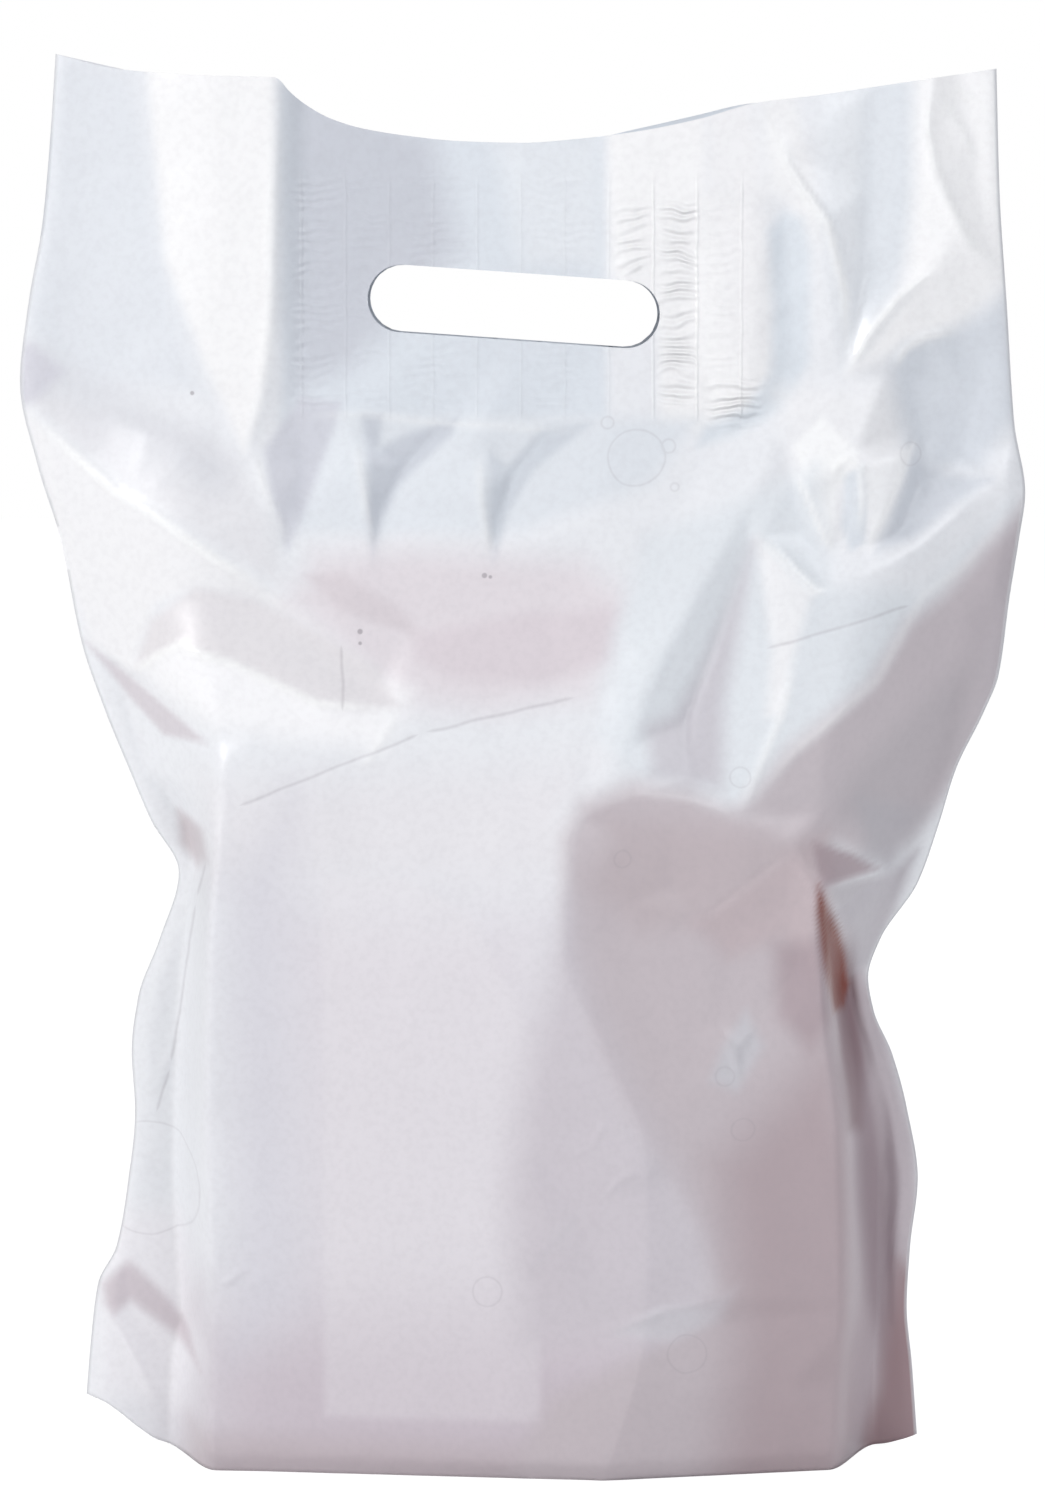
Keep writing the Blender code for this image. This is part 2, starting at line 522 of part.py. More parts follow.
def slot_cutter(collection):
    """The punch: an oblong with round ends that reaches through both walls."""
    radius = SLOT_HEIGHT / 2
    straight = SLOT_LENGTH - SLOT_HEIGHT
    outline = bpy.data.curves.new("slot_punch", "CURVE")
    outline.dimensions = "2D"
    outline.fill_mode = "BOTH"
    reach = 2 * max(depth for _, depth in FRONT_DEPTH + BACK_DEPTH) * MM
    outline.extrude = reach / 2
    ring = []
    for side in (1, -1):
        for step in range(PUNCH_END_STEPS + 1):
            angle = math.radians(-90 + 180 * step / PUNCH_END_STEPS)
            ring.append((side * (straight / 2 + radius * math.cos(angle)), side * radius * math.sin(angle)))
    spline = outline.splines.new("POLY")
    spline.points.add(len(ring) - 1)
    for point, (x, z) in zip(spline.points, ring):
        point.co = (x, z, 0.0, 1.0)
    spline.use_cyclic_u = True
    drawn = bpy.data.objects.new("slot_punch_outline", outline)
    collection.objects.link(drawn)
    drawn.rotation_euler = (math.radians(90), -HANDLE_TILT, 0.0)
    drawn.location = (HANDLE_X, 0.0, HANDLE_Z)
    bpy.context.view_layer.update()
    solid = bpy.data.meshes.new_from_object(drawn.evaluated_get(bpy.context.evaluated_depsgraph_get()))
    welded = bmesh.new()
    welded.from_mesh(solid)
    bmesh.ops.remove_doubles(welded, verts=welded.verts[:], dist=MERGE_DISTANCE)
    bmesh.ops.recalc_face_normals(welded, faces=welded.faces[:])
    welded.to_mesh(solid)
    welded.free()
    cutter = bpy.data.objects.new("slot_punch", solid)
    cutter.matrix_world = drawn.matrix_world
    collection.objects.link(cutter)
    bpy.data.objects.remove(drawn)
    cutter.hide_render = True
    cutter.display_type = "WIRE"
    return cutter


def centre_on_axes(parts, film):
    """Puts the middle of the bag's own box on the Z axis, with the flat base at z = 0."""
    xs = [corner.co.x for corner in film.verts]
    ys = [corner.co.y for corner in film.verts]
    middle = Vector(((min(xs) + max(xs)) / 2, (min(ys) + max(ys)) / 2, 0.0))
    for part in parts:
        part.location = part.location - middle


def build():
    for thing in list(bpy.data.objects):
        bpy.data.objects.remove(thing)
    bag = bpy.data.collections.new("plastic_carrier_bag")
    cutters = bpy.data.collections.new("cutters")
    for collection in (bag, cutters):
        bpy.context.scene.collection.children.link(collection)
    film = film_surface()
    punch = slot_cutter(cutters)
    body = new_object("bag_film", film, bag)
    front_patch = add_patch(film, "front_handle_patch", -1, bag)
    back_patch = add_patch(film, "back_handle_patch", 1, bag)
    finish(body, FILM_THICKNESS, punch, FILM_COLOUR, FILM_ROUGHNESS)
    for patch in (front_patch, back_patch):
        finish(patch, PATCH_THICKNESS, punch, PATCH_COLOUR, PATCH_ROUGHNESS)
    centre_on_axes([body, front_patch, back_patch, punch], film)
    film.free()


build()
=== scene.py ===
import math

import bmesh
import bpy
import numpy as np
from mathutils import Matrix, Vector, noise
from mathutils.bvhtree import BVHTree
from mathutils.geometry import delaunay_2d_cdt


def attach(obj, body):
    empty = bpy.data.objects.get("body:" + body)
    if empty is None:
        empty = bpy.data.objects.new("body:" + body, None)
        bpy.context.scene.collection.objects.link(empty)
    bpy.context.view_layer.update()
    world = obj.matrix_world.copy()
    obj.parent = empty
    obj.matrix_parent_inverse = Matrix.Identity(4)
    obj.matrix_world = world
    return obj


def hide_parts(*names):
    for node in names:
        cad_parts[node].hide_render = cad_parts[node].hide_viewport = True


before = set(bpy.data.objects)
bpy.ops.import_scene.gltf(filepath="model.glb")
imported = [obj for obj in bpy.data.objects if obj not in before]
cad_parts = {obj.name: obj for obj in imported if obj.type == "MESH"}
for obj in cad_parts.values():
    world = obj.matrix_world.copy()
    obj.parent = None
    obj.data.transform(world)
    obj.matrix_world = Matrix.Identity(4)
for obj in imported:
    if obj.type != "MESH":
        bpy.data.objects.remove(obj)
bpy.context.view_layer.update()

# The film of the bag: one tube of milky polyethylene, blown, laid flat and welded across the bottom. Its
# lower half stands filled out, the rest is creased and nearly flat. Every place on it is in millimetres, x
# to the right and z up from the floor, and depth is away from the plane of the side folds.
MM = 0.001

# Side folds of the tube, from the bottom corners to the mouth, as (z, x)
left_fold = [
    (18, -154), (40, -152), (58, -149.5), (71, -143), (92, -139), (120, -136), (140, -137), (160, -134.5),
    (180, -127), (204, -120), (222, -129.5), (240, -137), (260, -145), (284, -153), (320, -160),
    (345, -167.5), (374, -173.5), (400, -170.5), (430, -165), (460, -162), (486.5, -160),
]
right_fold = [
    (3.5, 139.5), (29, 137.5), (50, 135.5), (71, 136.5), (95, 139), (120, 135), (140, 129.5), (155, 123),
    (167, 121), (180, 125), (200, 138), (220, 145), (240, 151), (260, 160.5), (273, 165.5), (300, 169),
    (320, 172), (336, 174), (360, 170), (400, 167), (440, 164), (481.5, 162.5),
]

# Edges of the mouth, front and back, and the edge round the foot, from left to right, as (x, z)
front_mouth = [
    (-160, 486.5), (-140, 481.5), (-120, 479.5), (-100, 478.5), (-84, 478), (-79, 473), (-74, 469),
    (-66, 464.5), (-55, 461), (-40, 458.5), (-20, 456.5), (0, 456), (20, 457.5), (40, 460), (60, 464),
    (80, 469.5), (100, 472), (120, 475), (140, 478), (162.5, 481.5),
]
back_mouth = [
    (-160, 486.5), (-130, 480), (-95, 474), (-60, 462), (-20, 456), (20, 457.5), (40, 461.5), (60, 466),
    (78, 470), (110, 472.5), (140, 477), (162.5, 481.5),
]
foot = [
    (-154, 18), (-148, 16), (-142, 12), (-136, 7), (-128, 2), (-118, 0), (118, 0), (127, 0.5), (134, 2),
    (139.5, 3.5),
]

# The filled-out body beside each side fold, as (z, where it starts, where it is full)
left_side = [
    (0, -126, -106), (60, -124, -106), (120, -123, -107), (180, -119, -106), (207, -117, -104),
    (240, -134, -100), (280, -150, -105), (340, -164, -110), (400, -167, -104), (487, -159, -100),
]
right_side = [
    (0, 125, 106), (60, 129, 108), (120, 129, 106), (167, 119, 101), (200, 130, 100), (240, 146, 100),
    (280, 160, 105), (336, 170, 112), (400, 164, 104), (487, 161, 100),
]

# Depth of each wall at its foremost upright corner, where that corner runs, and the share of the depth that
# is lost over turn_run on either side of it
turn_run = 100.0
front_form = {
    "depth": [
        (0, 48), (8, 53), (60, 55), (130, 54), (180, 51), (215, 47), (240, 38), (270, 28), (310, 21),
        (350, 17), (400, 13.5), (440, 11), (487, 8),
    ],
    "corner": [(0, 28), (60, 42), (110, 42), (150, 28), (185, 14), (225, 16), (300, 20)],
    "left_turn": [(0, 0.22), (215, 0.20), (270, 0.05), (487, 0.03)],
    "right_turn": [(0, 0.38), (215, 0.34), (270, 0.06), (487, 0.03)],
}
back_form = {
    "depth": [
        (0, 46), (8, 50), (60, 52), (130, 52), (180, 49), (215, 44), (240, 36), (270, 27), (310, 20),
        (350, 16), (400, 12.5), (440, 10.5), (487, 8),
    ],
    "corner": [(0, 10), (487, 0)],
    "left_turn": [(0, 0.20), (215, 0.18), (270, 0.05), (487, 0.03)],
    "right_turn": [(0, 0.20), (215, 0.18), (270, 0.05), (487, 0.03)],
}

# Folds of the front wall, each a line of (x, z, lift), where lift is how far it stands proud of the wall
front_folds = {
    "panel_valley": [(-128, 478, 0), (-125, 440, -1), (-121, 400, -1.5), (-115, 385, -1.5), (-104, 367, -1)],
    "panel_ridge": [(-84, 476, 6.5), (-85, 440, 6.5), (-86, 400, 6), (-89, 372, 4), (-94, 353, 1.5)],
    "panel_drop": [(-74, 470, -2), (-75, 440, -2.5), (-75, 400, -2.5), (-75, 376, -2)],
    "recess_middle": [(-35, 456, -2.5), (-35, 430, -3)],
    "recess_edge": [(26, 456, -3), (27, 436, -3.5), (29, 420, -3.5)],
    "patch_step": [(33, 456, -1.5), (34, 436, -1.5), (36, 420, -1.5)],
    "patch_crest": [(76, 466, 4), (79, 440, 4.5), (80, 412, 4), (79, 386, 3), (74, 366, 1.5)],
    "arch_hollow": [
        (88, 432, 1), (90, 418, -1.5), (91, 400, -2), (92, 382, -2), (86, 366, -2), (68, 356, -2),
    ],
    "arch_ridge": [(83, 469, 4), (86, 452, 6), (92, 438, 6), (100, 428, 6.5), (104, 414, 6), (107, 395, 4)],
    "fork_left": [(107, 395, 4), (110, 376, 0)],
    "panel_hollow": [(120, 474, -2), (119, 440, -3), (117, 410, -3), (113, 390, -2)],
    "fork_right": [(110, 376, 0), (118, 392, 4), (130, 405, 6), (142, 414, 7)],
    "gloss_fold": [(140, 477, 5), (138, 460, 6), (141, 445, 7), (149, 428, 7), (142, 414, 7)],
    "corner_fold": [(142, 414, 7), (153, 417, 5), (161, 415, 2)],
    "corner_hollow": [(150, 474, -1), (156, 462, -1.5), (157, 440, -1)],
    "side_crease": [(126, 378, -1), (131, 386, 2), (138, 390, 2.5), (150, 394, 1), (160, 404, 0)],
    "side_hollow": [(134, 380, -5), (136, 360, -6), (135, 340, -6)],
    "side_hollow_2": [(152, 372, -2), (153, 356, -4), (152, 346, -4)],
    "pucker_1": [(-79, 364, -2), (-75, 346, -3.5), (-76, 330, -3)],
    "pucker_2": [(-27, 360, -2), (-40, 346, -3.5), (-47, 332, -3.5)],
    "pucker_3": [(8, 357, -2), (-3, 343, -3.5), (-8, 328, -3)],
    "pucker_ridge_1": [(-91, 346, 2), (-86, 334, 2.5), (-80, 319, 0)],
    "pucker_ridge_2": [(-58, 362, 0.5), (-55, 345, 3), (-53, 330, 2.5), (-51, 317, 0)],
    "pucker_ridge_3": [(-15, 356, 0.5), (-15, 338, 3), (-13, 326, 2), (-11, 315, 0)],
    "left_shadow": [(-164, 380, -1.5), (-152, 372, -2.5), (-139, 361, -3), (-118, 353, -3), (-104, 348, -2)],
    "left_ridge": [
        (-166, 363, 1.5), (-155, 352, 2.5), (-140, 338, 3.5), (-124, 328, 4), (-108, 322, 4), (-85, 313, 3),
    ],
    "left_ridge_end": [(-85, 313, 3.5), (-62, 298, 1)],
    "crescent": [
        (-132, 286, 0), (-125, 297, 0.5), (-111, 303, -0.5), (-88, 297, -3), (-66, 281, -2.5),
        (-50, 271, -2),
    ],
    "cheek_ridge": [
        (-134, 275, 0), (-126, 281, 2.5), (-119, 286, 3.5), (-100, 281, 4.5), (-82, 275, 4.5), (-62, 266, 4),
    ],
    "cheek_end": [(-62, 266, 4), (-43, 265, 2.2), (-49, 252, 1.8), (-55, 244, 0.5)],
    "side_slit": [(-147, 281, -1), (-134, 271, -4), (-119, 260, -4), (-108, 254, -2.5)],
    "cheek_plane": [(-112, 268, 2.5), (-92, 255, 3), (-72, 249, 2)],
    "pocket": [(-118, 238, -1), (-118, 223, -8), (-113, 212, -3)],
    "pocket_rim": [(-107, 238, 2), (-108, 222, 3), (-110, 207, 2)],
    "side_line": [(-112, 196, 2), (-115, 178, 2.5), (-119, 158, 2.5), (-123, 140, 2)],
    "centre_hollow": [(-36, 293, -3), (-14, 296, -3.5), (6, 292, -4), (14, 278, -3.5)],
    "band_ridge": [(78, 335, 2.5), (60, 304, 4.5), (44, 275, 5), (35, 250, 3.5)],
    "band_foot": [(42, 315, -1), (34, 290, -1.5), (26, 262, -1)],
    "band_valley": [(78, 320, -1), (71, 300, -2.5), (61, 275, -4), (55, 259, -4), (58, 242, -2)],
    "cone_ridge": [
        (81, 322, 3.5), (90, 313, 4.5), (100, 304, 5), (96, 288, 5), (91, 272, 5), (84, 254, 4.5),
        (74, 228, 3),
    ],
    "cone_shade": [(93, 341, -1), (98, 322, -3), (104, 307, 1)],
    "quad_ridge": [
        (88, 358, 2), (97, 350, 4.5), (107, 346, 5), (111, 349, 6), (115, 346, 6), (116, 334, 4.5),
        (115, 320, 0),
    ],
    "quad_tip": [(97, 337, 4), (103, 323, 2), (106, 317, -1)],
    "quad_notch": [(108, 340, 0.5), (110, 326, -1)],
    "quad_edge": [(132, 349, 4), (123, 329, 3), (119, 320, 0)],
    "quad_shade": [(151, 342, -1), (141, 340, -3), (130, 325, -3)],
    "side_band": [(163, 339, 3), (150, 330, 4.5), (136, 319, 5), (120, 311, 5), (108, 306, 4)],
    "shoulder_edge": [
        (163, 323, 3), (150, 311, 4.5), (138, 301, 5), (122, 274, 5), (108, 262, 5), (93, 250, 5),
        (74, 228, 3),
    ],
    "shoulder_fall": [(152, 284, -0.5), (140, 262, -2), (122, 243, -2.5), (106, 231, -2.5)],
    "box_top": [(14, 218, 1.5), (20, 229, 2), (38, 236, 2.5), (56, 234, 2.5), (74, 227, 2.5)],
    "box_corner": [
        (14, 218, 2), (12, 200, 1.8), (14, 181, 1.6), (20, 165, 1.5), (30, 147, 1.2), (41, 127, 1),
        (53, 106, 0.5),
    ],
    "box_hollow": [
        (32, 222, -0.5), (50, 221, -1.5), (52, 205, -2), (33, 198, -0.5), (38, 172, -0.5), (52, 148, -1),
    ],
    "flap_crease": [(60, 193, 0.5), (76, 204, 2), (92, 216, 2.5)],
    "flap_hollow": [(74, 190, -1), (90, 196, -1), (96, 180, -1)],
    "side_wedge": [(104, 214, -5), (113, 212, -4), (123, 210, -1)],
    "wedge_lip": [(102, 206, 2), (112, 205, 2), (124, 203, 2)],
    "open_fold_lip": [
        (102, 200, 2), (102, 184, 3), (105, 164, 3), (109, 140, 3), (113, 115, 2.5), (115, 88, 2),
        (118, 60, 1.5),
    ],
    "open_fold": [
        (106, 193, -12), (111, 172, -15), (115, 150, -12), (120, 125, -9), (122, 100, -8), (124, 70, -7),
    ],
    "open_fold_foot": [(124, 70, -7), (127, 40, -5), (129, 20, -3)],
    "fin_ridge": [
        (116, 184, 3), (118, 162, 4), (123, 142, 5), (129, 120, 5), (132, 96, 4), (131, 70, 3), (131, 45, 2),
    ],
    "lower_diamond": [(66, 157, 0), (72, 150, 1.5), (79, 156, 0.5)],
    "lower_diamond_tip": [(72, 150, 1.5), (73, 141, 0)],
    "leaf_ridge": [(31, 54, 0), (50, 61, 2.5), (73, 65, 2.5)],
    "leaf_shade": [(52, 52, -1), (72, 56, -1)],
    "glint_1": [(1, 72, 0), (10, 84, 2), (19, 93, 0)],
    "glint_2": [(27, 99, 0), (38, 109, 2)],
    "ear_valley": [(-139, 70, -1), (-128, 58, -5), (-119, 45, -6), (-113, 33, -3)],
    "ear_ridge": [(-144, 48, 2), (-136, 33, 3), (-128, 15, 2)],
    "ear_shade": [(-102, 64, -1.5), (-92, 70, -2), (-82, 68, -1)],
}

# Folds of the back wall, in the same way
back_folds = {
    "mouth_fold": [(-70, 462, 3), (-66, 440, 3), (-72, 418, 1)],
    "mouth_hollow": [(-98, 474, -2), (-95, 440, -3), (-98, 400, -3)],
    "side_ridge": [(112, 472, 4), (104, 440, 5), (100, 400, 4), (108, 362, 1)],
    "side_hollow": [(134, 470, -2), (128, 430, -3), (124, 392, -3)],
    "pucker_1": [(62, 360, -3), (58, 345, -4), (60, 322, -2)],
    "pucker_2": [(20, 360, -3), (24, 342, -4), (22, 316, -2)],
    "pucker_ridge": [(42, 356, 1), (41, 338, 2.5), (43, 320, 0)],
    "pucker_3": [(-30, 364, -3), (-26, 345, -4), (-30, 318, -2)],
    "long_ridge": [(150, 350, 3), (128, 330, 6), (100, 308, 7), (72, 288, 5), (50, 270, 2)],
    "long_valley": [(158, 320, 0), (135, 300, -3), (108, 278, -4), (84, 258, -3)],
    "left_ridge": [(-158, 352, 3), (-136, 335, 6), (-108, 312, 7), (-80, 288, 6), (-64, 262, 3)],
    "left_valley": [(-150, 312, -1), (-128, 292, -4), (-104, 268, -4), (-96, 246, -2)],
    "mid_cone": [(-10, 330, 2), (-12, 300, 4), (-6, 268, 4), (-10, 238, 1)],
    "box_top": [(-92, 228, 3), (-40, 231, 4), (20, 232, 4), (80, 229, 3)],
    "waist_fold": [(-104, 212, -3), (-84, 206, -2), (-62, 208, 0)],
    "waist_fold_2": [(104, 196, -4), (84, 186, -3), (66, 184, 0)],
    "body_crease": [(-58, 178, 0), (-30, 150, 2.5), (4, 128, 2), (30, 96, 0)],
    "body_crease_2": [(70, 150, 0), (62, 116, 2.5), (40, 84, 0)],
    "low_crease": [(-90, 92, 0), (-70, 64, 2), (-44, 52, 0)],
    "ear_valley": [(-134, 64, -2), (-122, 48, -4), (-114, 30, -2)],
    "ear_valley_2": [(128, 58, -2), (122, 40, -4), (115, 24, -2)],
}

# Half the gap that stays between the walls, and how far from a side fold it and the folds are whole
least_half_gap = 2.0
fold_roll = 2.5
relief_fade = 7.0

# Level places between the folds stand on a square grid, but not within a share of its spacing of a fold
anchor_spacing = 30.0
anchor_clearance = 0.6
anchor_rows = range(-1, 19)
anchor_columns = range(-8, 9)
steps_along_fold = 4
same_place = 0.01
above_folds = 100.0

# How far the edges of the facets are rounded, and the share of the drawn lift that the film takes
crease_softness = 1.6
fold_share = 0.75

# Fine waves of the film over its folds: their height and size, broad and then fine
crinkle_height, crinkle_size = 0.30, 34.0
fine_crinkle_height, fine_crinkle_size = 0.14, 13.0
crinkle_steepness = 2.2


def smooth_line(points, places, column=1):
    """Values of a smooth line through the points, without overshoot, and level past its ends."""
    at = np.array([p[0] for p in points], float)
    value = np.array([p[column] for p in points], float)
    rise = np.diff(value) / np.diff(at)
    slope = np.zeros(len(at))
    slope[0], slope[-1] = rise[0], rise[-1]
    same_way = rise[:-1] * rise[1:] > 0
    with np.errstate(divide="ignore", invalid="ignore"):
        slope[1:-1] = np.where(same_way, 2 * rise[:-1] * rise[1:] / (rise[:-1] + rise[1:]), 0.0)
    places = np.clip(places, at[0], at[-1])
    i = np.clip(np.searchsorted(at, places, side="right") - 1, 0, len(at) - 2)
    run = at[i + 1] - at[i]
    t = (places - at[i]) / run
    return (
        (2 * t**3 - 3 * t**2 + 1) * value[i]
        + (t**3 - 2 * t**2 + t) * run * slope[i]
        + (3 * t**2 - 2 * t**3) * value[i + 1]
        + (t**3 - t**2) * run * slope[i + 1]
    )


def smooth_step(value):
    t = np.clip(value, 0.0, 1.0)
    return t * t * (3 - 2 * t)


def fold_surface(folds):
    """Flat facets between the fold lines, with level places where the wall has no fold."""
    points, edges = [], []
    for line in folds.values():
        edges += [(len(points) + k, len(points) + k + 1) for k in range(len(line) - 1)]
        points += [Vector(p) for p in line]
    drawn = []
    for line in folds.values():
        for start, end in zip(line, line[1:]):
            along = (k / steps_along_fold for k in range(steps_along_fold + 1))
            drawn += [Vector(start).lerp(Vector(end), t).xy for t in along]
    for row in anchor_rows:
        for column in anchor_columns:
            place = Vector((column * anchor_spacing, row * anchor_spacing, 0.0))
            if all((place.xy - p).length > anchor_clearance * anchor_spacing for p in drawn):
                points.append(place)
    flat = delaunay_2d_cdt([p.xy for p in points], edges, [], 0, same_place, True)
    corners = [Vector((p.x, p.y, points[ids[0]].z if ids else 0.0)) for p, ids in zip(flat[0], flat[3])]
    return BVHTree.FromPolygons(corners, flat[2])


def base_depth(form, x, z):
    from_corner = (x - smooth_line(form["corner"], z)) / turn_run
    turn = np.where(from_corner < 0, smooth_line(form["left_turn"], z), smooth_line(form["right_turn"], z))
    depth = smooth_line(form["depth"], z) * (1 - np.abs(from_corner) * turn)
    for side in (left_side, right_side):
        start, full = smooth_line(side, z), smooth_line(side, z, 2)
        depth = depth * smooth_step((x - start) / (full - start))
    return depth


def fold_lift(surface, x, z):
    down = Vector((0.0, 0.0, -1.0))
    hits = (surface.ray_cast(Vector((a, b, above_folds)), down)[0] for a, b in zip(x.ravel(), z.ravel()))
    return np.array([hit.z if hit else 0.0 for hit in hits]).reshape(x.shape)


def softened(grid, spacing, softness):
    """The grid with its creases rounded over a distance; spacing is that of its rows and columns."""
    for axis, step in enumerate(spacing):
        reach = int(3 * softness / step) + 1
        weight = np.exp(-0.5 * (np.arange(-reach, reach + 1) * step / softness) ** 2)
        weight /= weight.sum()
        wide = np.pad(grid, [(reach, reach) if k == axis else (0, 0) for k in (0, 1)], mode="edge")
        grid = sum(w * np.take(wide, range(k, k + grid.shape[axis]), axis=axis) for k, w in enumerate(weight))
    return grid


def crinkle(x, z, seed, size):
    """Fine waves of thin film: sharp little ridges in no one direction, between -1 and 1."""
    places = (Vector((a / size, b / size, seed)) for a, b in zip(x.ravel(), z.ravel()))
    return np.array([1 - crinkle_steepness * abs(noise.noise(p)) for p in places]).reshape(x.shape)


def between_folds(z, share):
    left, right = smooth_line(left_fold, z), smooth_line(right_fold, z)
    return left + (right - left) * share


settling_steps = 12


def edge_height(edge, end, share):
    """Heights along the foot or the mouth; each step takes them from where the last one puts the columns."""
    z = left_fold[end][0] * (1 - share) + right_fold[end][0] * share
    for _ in range(settling_steps):
        z = smooth_line(edge, between_folds(z, share))
    return z


def wall_grid(mouth, columns, rows):
    """Places on a wall: evenly spaced between the side folds, and between the foot and the mouth."""
    share, rise = np.meshgrid(np.linspace(0, 1, columns), np.linspace(0, 1, rows))
    bottom, top = edge_height(foot, 0, share[0]), edge_height(mouth, -1, share[0])
    z = bottom + (top - bottom) * rise
    return between_folds(z, share), z


# Sharp creases of the front wall, each as its width, its height in the middle and the line it follows. A
# negative height is a crease pressed inward.
front_creases = [
    (1.8, 0.6, (-84, 477), (-85, 440), (-86, 400), (-90, 368), (-95, 350)),
    (1.6, 1.2, (-172, 366), (-155, 350), (-140, 337), (-124, 328), (-104, 314), (-84, 303)),
    (1.4, -0.5, (-80, 309), (-64, 298), (-46, 290), (-34, 287)),
    (1.4, 1.2, (-136, 273), (-127, 280), (-118, 285), (-98, 279)),
    (1.4, 1.0, (-118, 285), (-98, 279), (-70, 266), (-42, 264)),
    (1.6, 0.5, (-42, 264), (-48, 254), (-55, 243)),
    (1.5, -0.9, (-153, 285), (-134, 272), (-119, 261), (-106, 254)),
    (1.5, 0.6, (-112, 214), (-115, 180), (-119, 158), (-123, 140), (-131, 122)),
    (1.6, 1.3, (82, 470), (90, 448), (96, 439), (104, 428), (110, 405), (111, 377)),
    (1.6, 1.1, (110, 376), (118, 391), (129, 404), (142, 414)),
    (1.5, 1.0, (140, 478), (138, 461), (141, 446), (149, 429), (154, 421), (166, 412)),
    (1.3, 0.9, (127, 378), (131, 386), (138, 390), (151, 393)),
    (1.2, 0.6, (141, 474), (150, 461), (157, 447)),
    (1.2, 0.6, (146, 478), (155, 470), (161, 466)),
    (1.3, 0.9, (106, 339), (107, 347), (111, 349), (115, 346), (116, 334), (115, 320)),
    (1.3, 0.8, (92, 347), (97, 336), (103, 322), (106, 317)),
    (1.4, 0.5, (133, 350), (123, 329), (117, 317)),
    (1.2, -0.6, (109, 342), (110, 331), (111, 321)),
    (1.6, 0.35, (172, 332), (153, 312), (138, 302), (122, 274), (108, 262), (93, 250), (74, 226)),
    (1.4, 0.7, (80, 323), (90, 314), (100, 304), (104, 304)),
    (1.4, -0.6, (80, 318), (83, 298), (85, 282)),
    (1.6, 0.6, (93, 280), (88, 262), (80, 243), (74, 227)),
    (1.4, -0.5, (56, 246), (57, 262), (63, 278), (72, 302)),
    (1.6, 0.4, (14, 219), (20, 229), (38, 236), (56, 234), (74, 226)),
    (1.4, -0.4, (58, 192), (68, 199), (80, 208), (93, 217)),
    (1.4, 0.5, (93, 217), (98, 206), (100, 196)),
    (1.4, -0.8, (100, 222), (112, 214), (126, 210)),
    (1.4, 0.8, (100, 206), (112, 205), (128, 204)),
    (1.6, 1.0, (101, 206), (104, 184), (107, 162), (112, 138)),
    (1.2, 0.5, (66, 158), (72, 149), (80, 157)),
    (1.2, 0.5, (72, 150), (74, 138)),
    (1.3, 0.5, (28, 53), (48, 61), (75, 66)),
    (1.2, 0.2, (-2, 70), (9, 84), (21, 95)),
    (1.2, 0.4, (26, 98), (33, 106), (40, 110)),
    (1.2, 0.4, (14, 112), (24, 118), (29, 127)),
    (1.2, -0.4, (34, 128), (40, 118), (48, 112)),
    (1.6, -0.8, (-140, 66), (-127, 54), (-118, 43), (-112, 32)),
    (1.4, 0.7, (-146, 50), (-137, 33), (-128, 14)),
    (1.4, 0.6, (-118, 30), (-112, 14), (-108, 2)),
    (1.4, 0.5, (-106, 64), (-96, 71), (-86, 66)),
    (1.3, 0.5, (-132, 132), (-120, 126), (-112, 122)),
    (1.2, -0.4, (-137, 110), (-128, 100), (-120, 98)),
    (1.5, 0.5, (-93, 352), (-87, 336), (-79, 318)),
    (1.5, 0.5, (-57, 356), (-54, 336), (-51, 316)),
    (1.5, 0.5, (-15, 352), (-14, 334), (-11, 314)),
    (1.4, -0.5, (-26, 362), (-40, 347), (-49, 330)),
    (1.4, -0.5, (9, 359), (-3, 344), (-9, 326)),
    (1.3, 0.35, (-80, 363), (-54, 364), (-30, 361), (0, 359), (28, 358)),
    (1.0, -0.35, (-98, 231), (-60, 247), (-36, 254), (-14, 263), (18, 267)),
    (1.0, -0.35, (82, 284), (104, 292), (132, 298)),
]

# Those of the back wall, which are wider
back_creases = [
    (3.2, 1.2, (158, 353), (128, 331), (100, 309), (72, 289), (48, 268)),
    (3.2, 1.1, (-164, 356), (-136, 336), (-108, 313), (-80, 289), (-60, 258)),
    (3.0, 0.9, (-10, 334), (-12, 300), (-6, 268), (-10, 236)),
    (3.0, 0.8, (-96, 227), (-40, 231), (20, 232), (84, 229)),
    (3.0, 1.0, (112, 474), (104, 440), (100, 400), (108, 360)),
    (3.0, 0.8, (-70, 464), (-66, 440), (-72, 416)),
    (3.0, 0.8, (-60, 180), (-30, 150), (4, 128), (32, 94)),
    (3.0, 0.7, (72, 152), (62, 116), (38, 82)),
    (3.0, 0.6, (-92, 94), (-70, 64), (-42, 51)),
    (3.0, -0.8, (130, 300), (104, 276), (84, 256)),
    (3.0, -0.7, (-128, 292), (-104, 268), (-94, 244)),
    (3.0, 0.6, (-150, 420), (-120, 400), (-96, 372)),
    (3.0, 0.5, (140, 440), (150, 410), (160, 396)),
]


def line_distance(start, end, x, z):
    """Distance from a straight piece of line, and how far along it, from 0 to 1."""
    run = np.subtract(end, start).astype(float)
    t = (((x - start[0]) * run[0] + (z - start[1]) * run[1]) / run.dot(run)).clip(0, 1)
    return np.hypot(x - start[0] - t * run[0], z - start[1] - t * run[1]), t


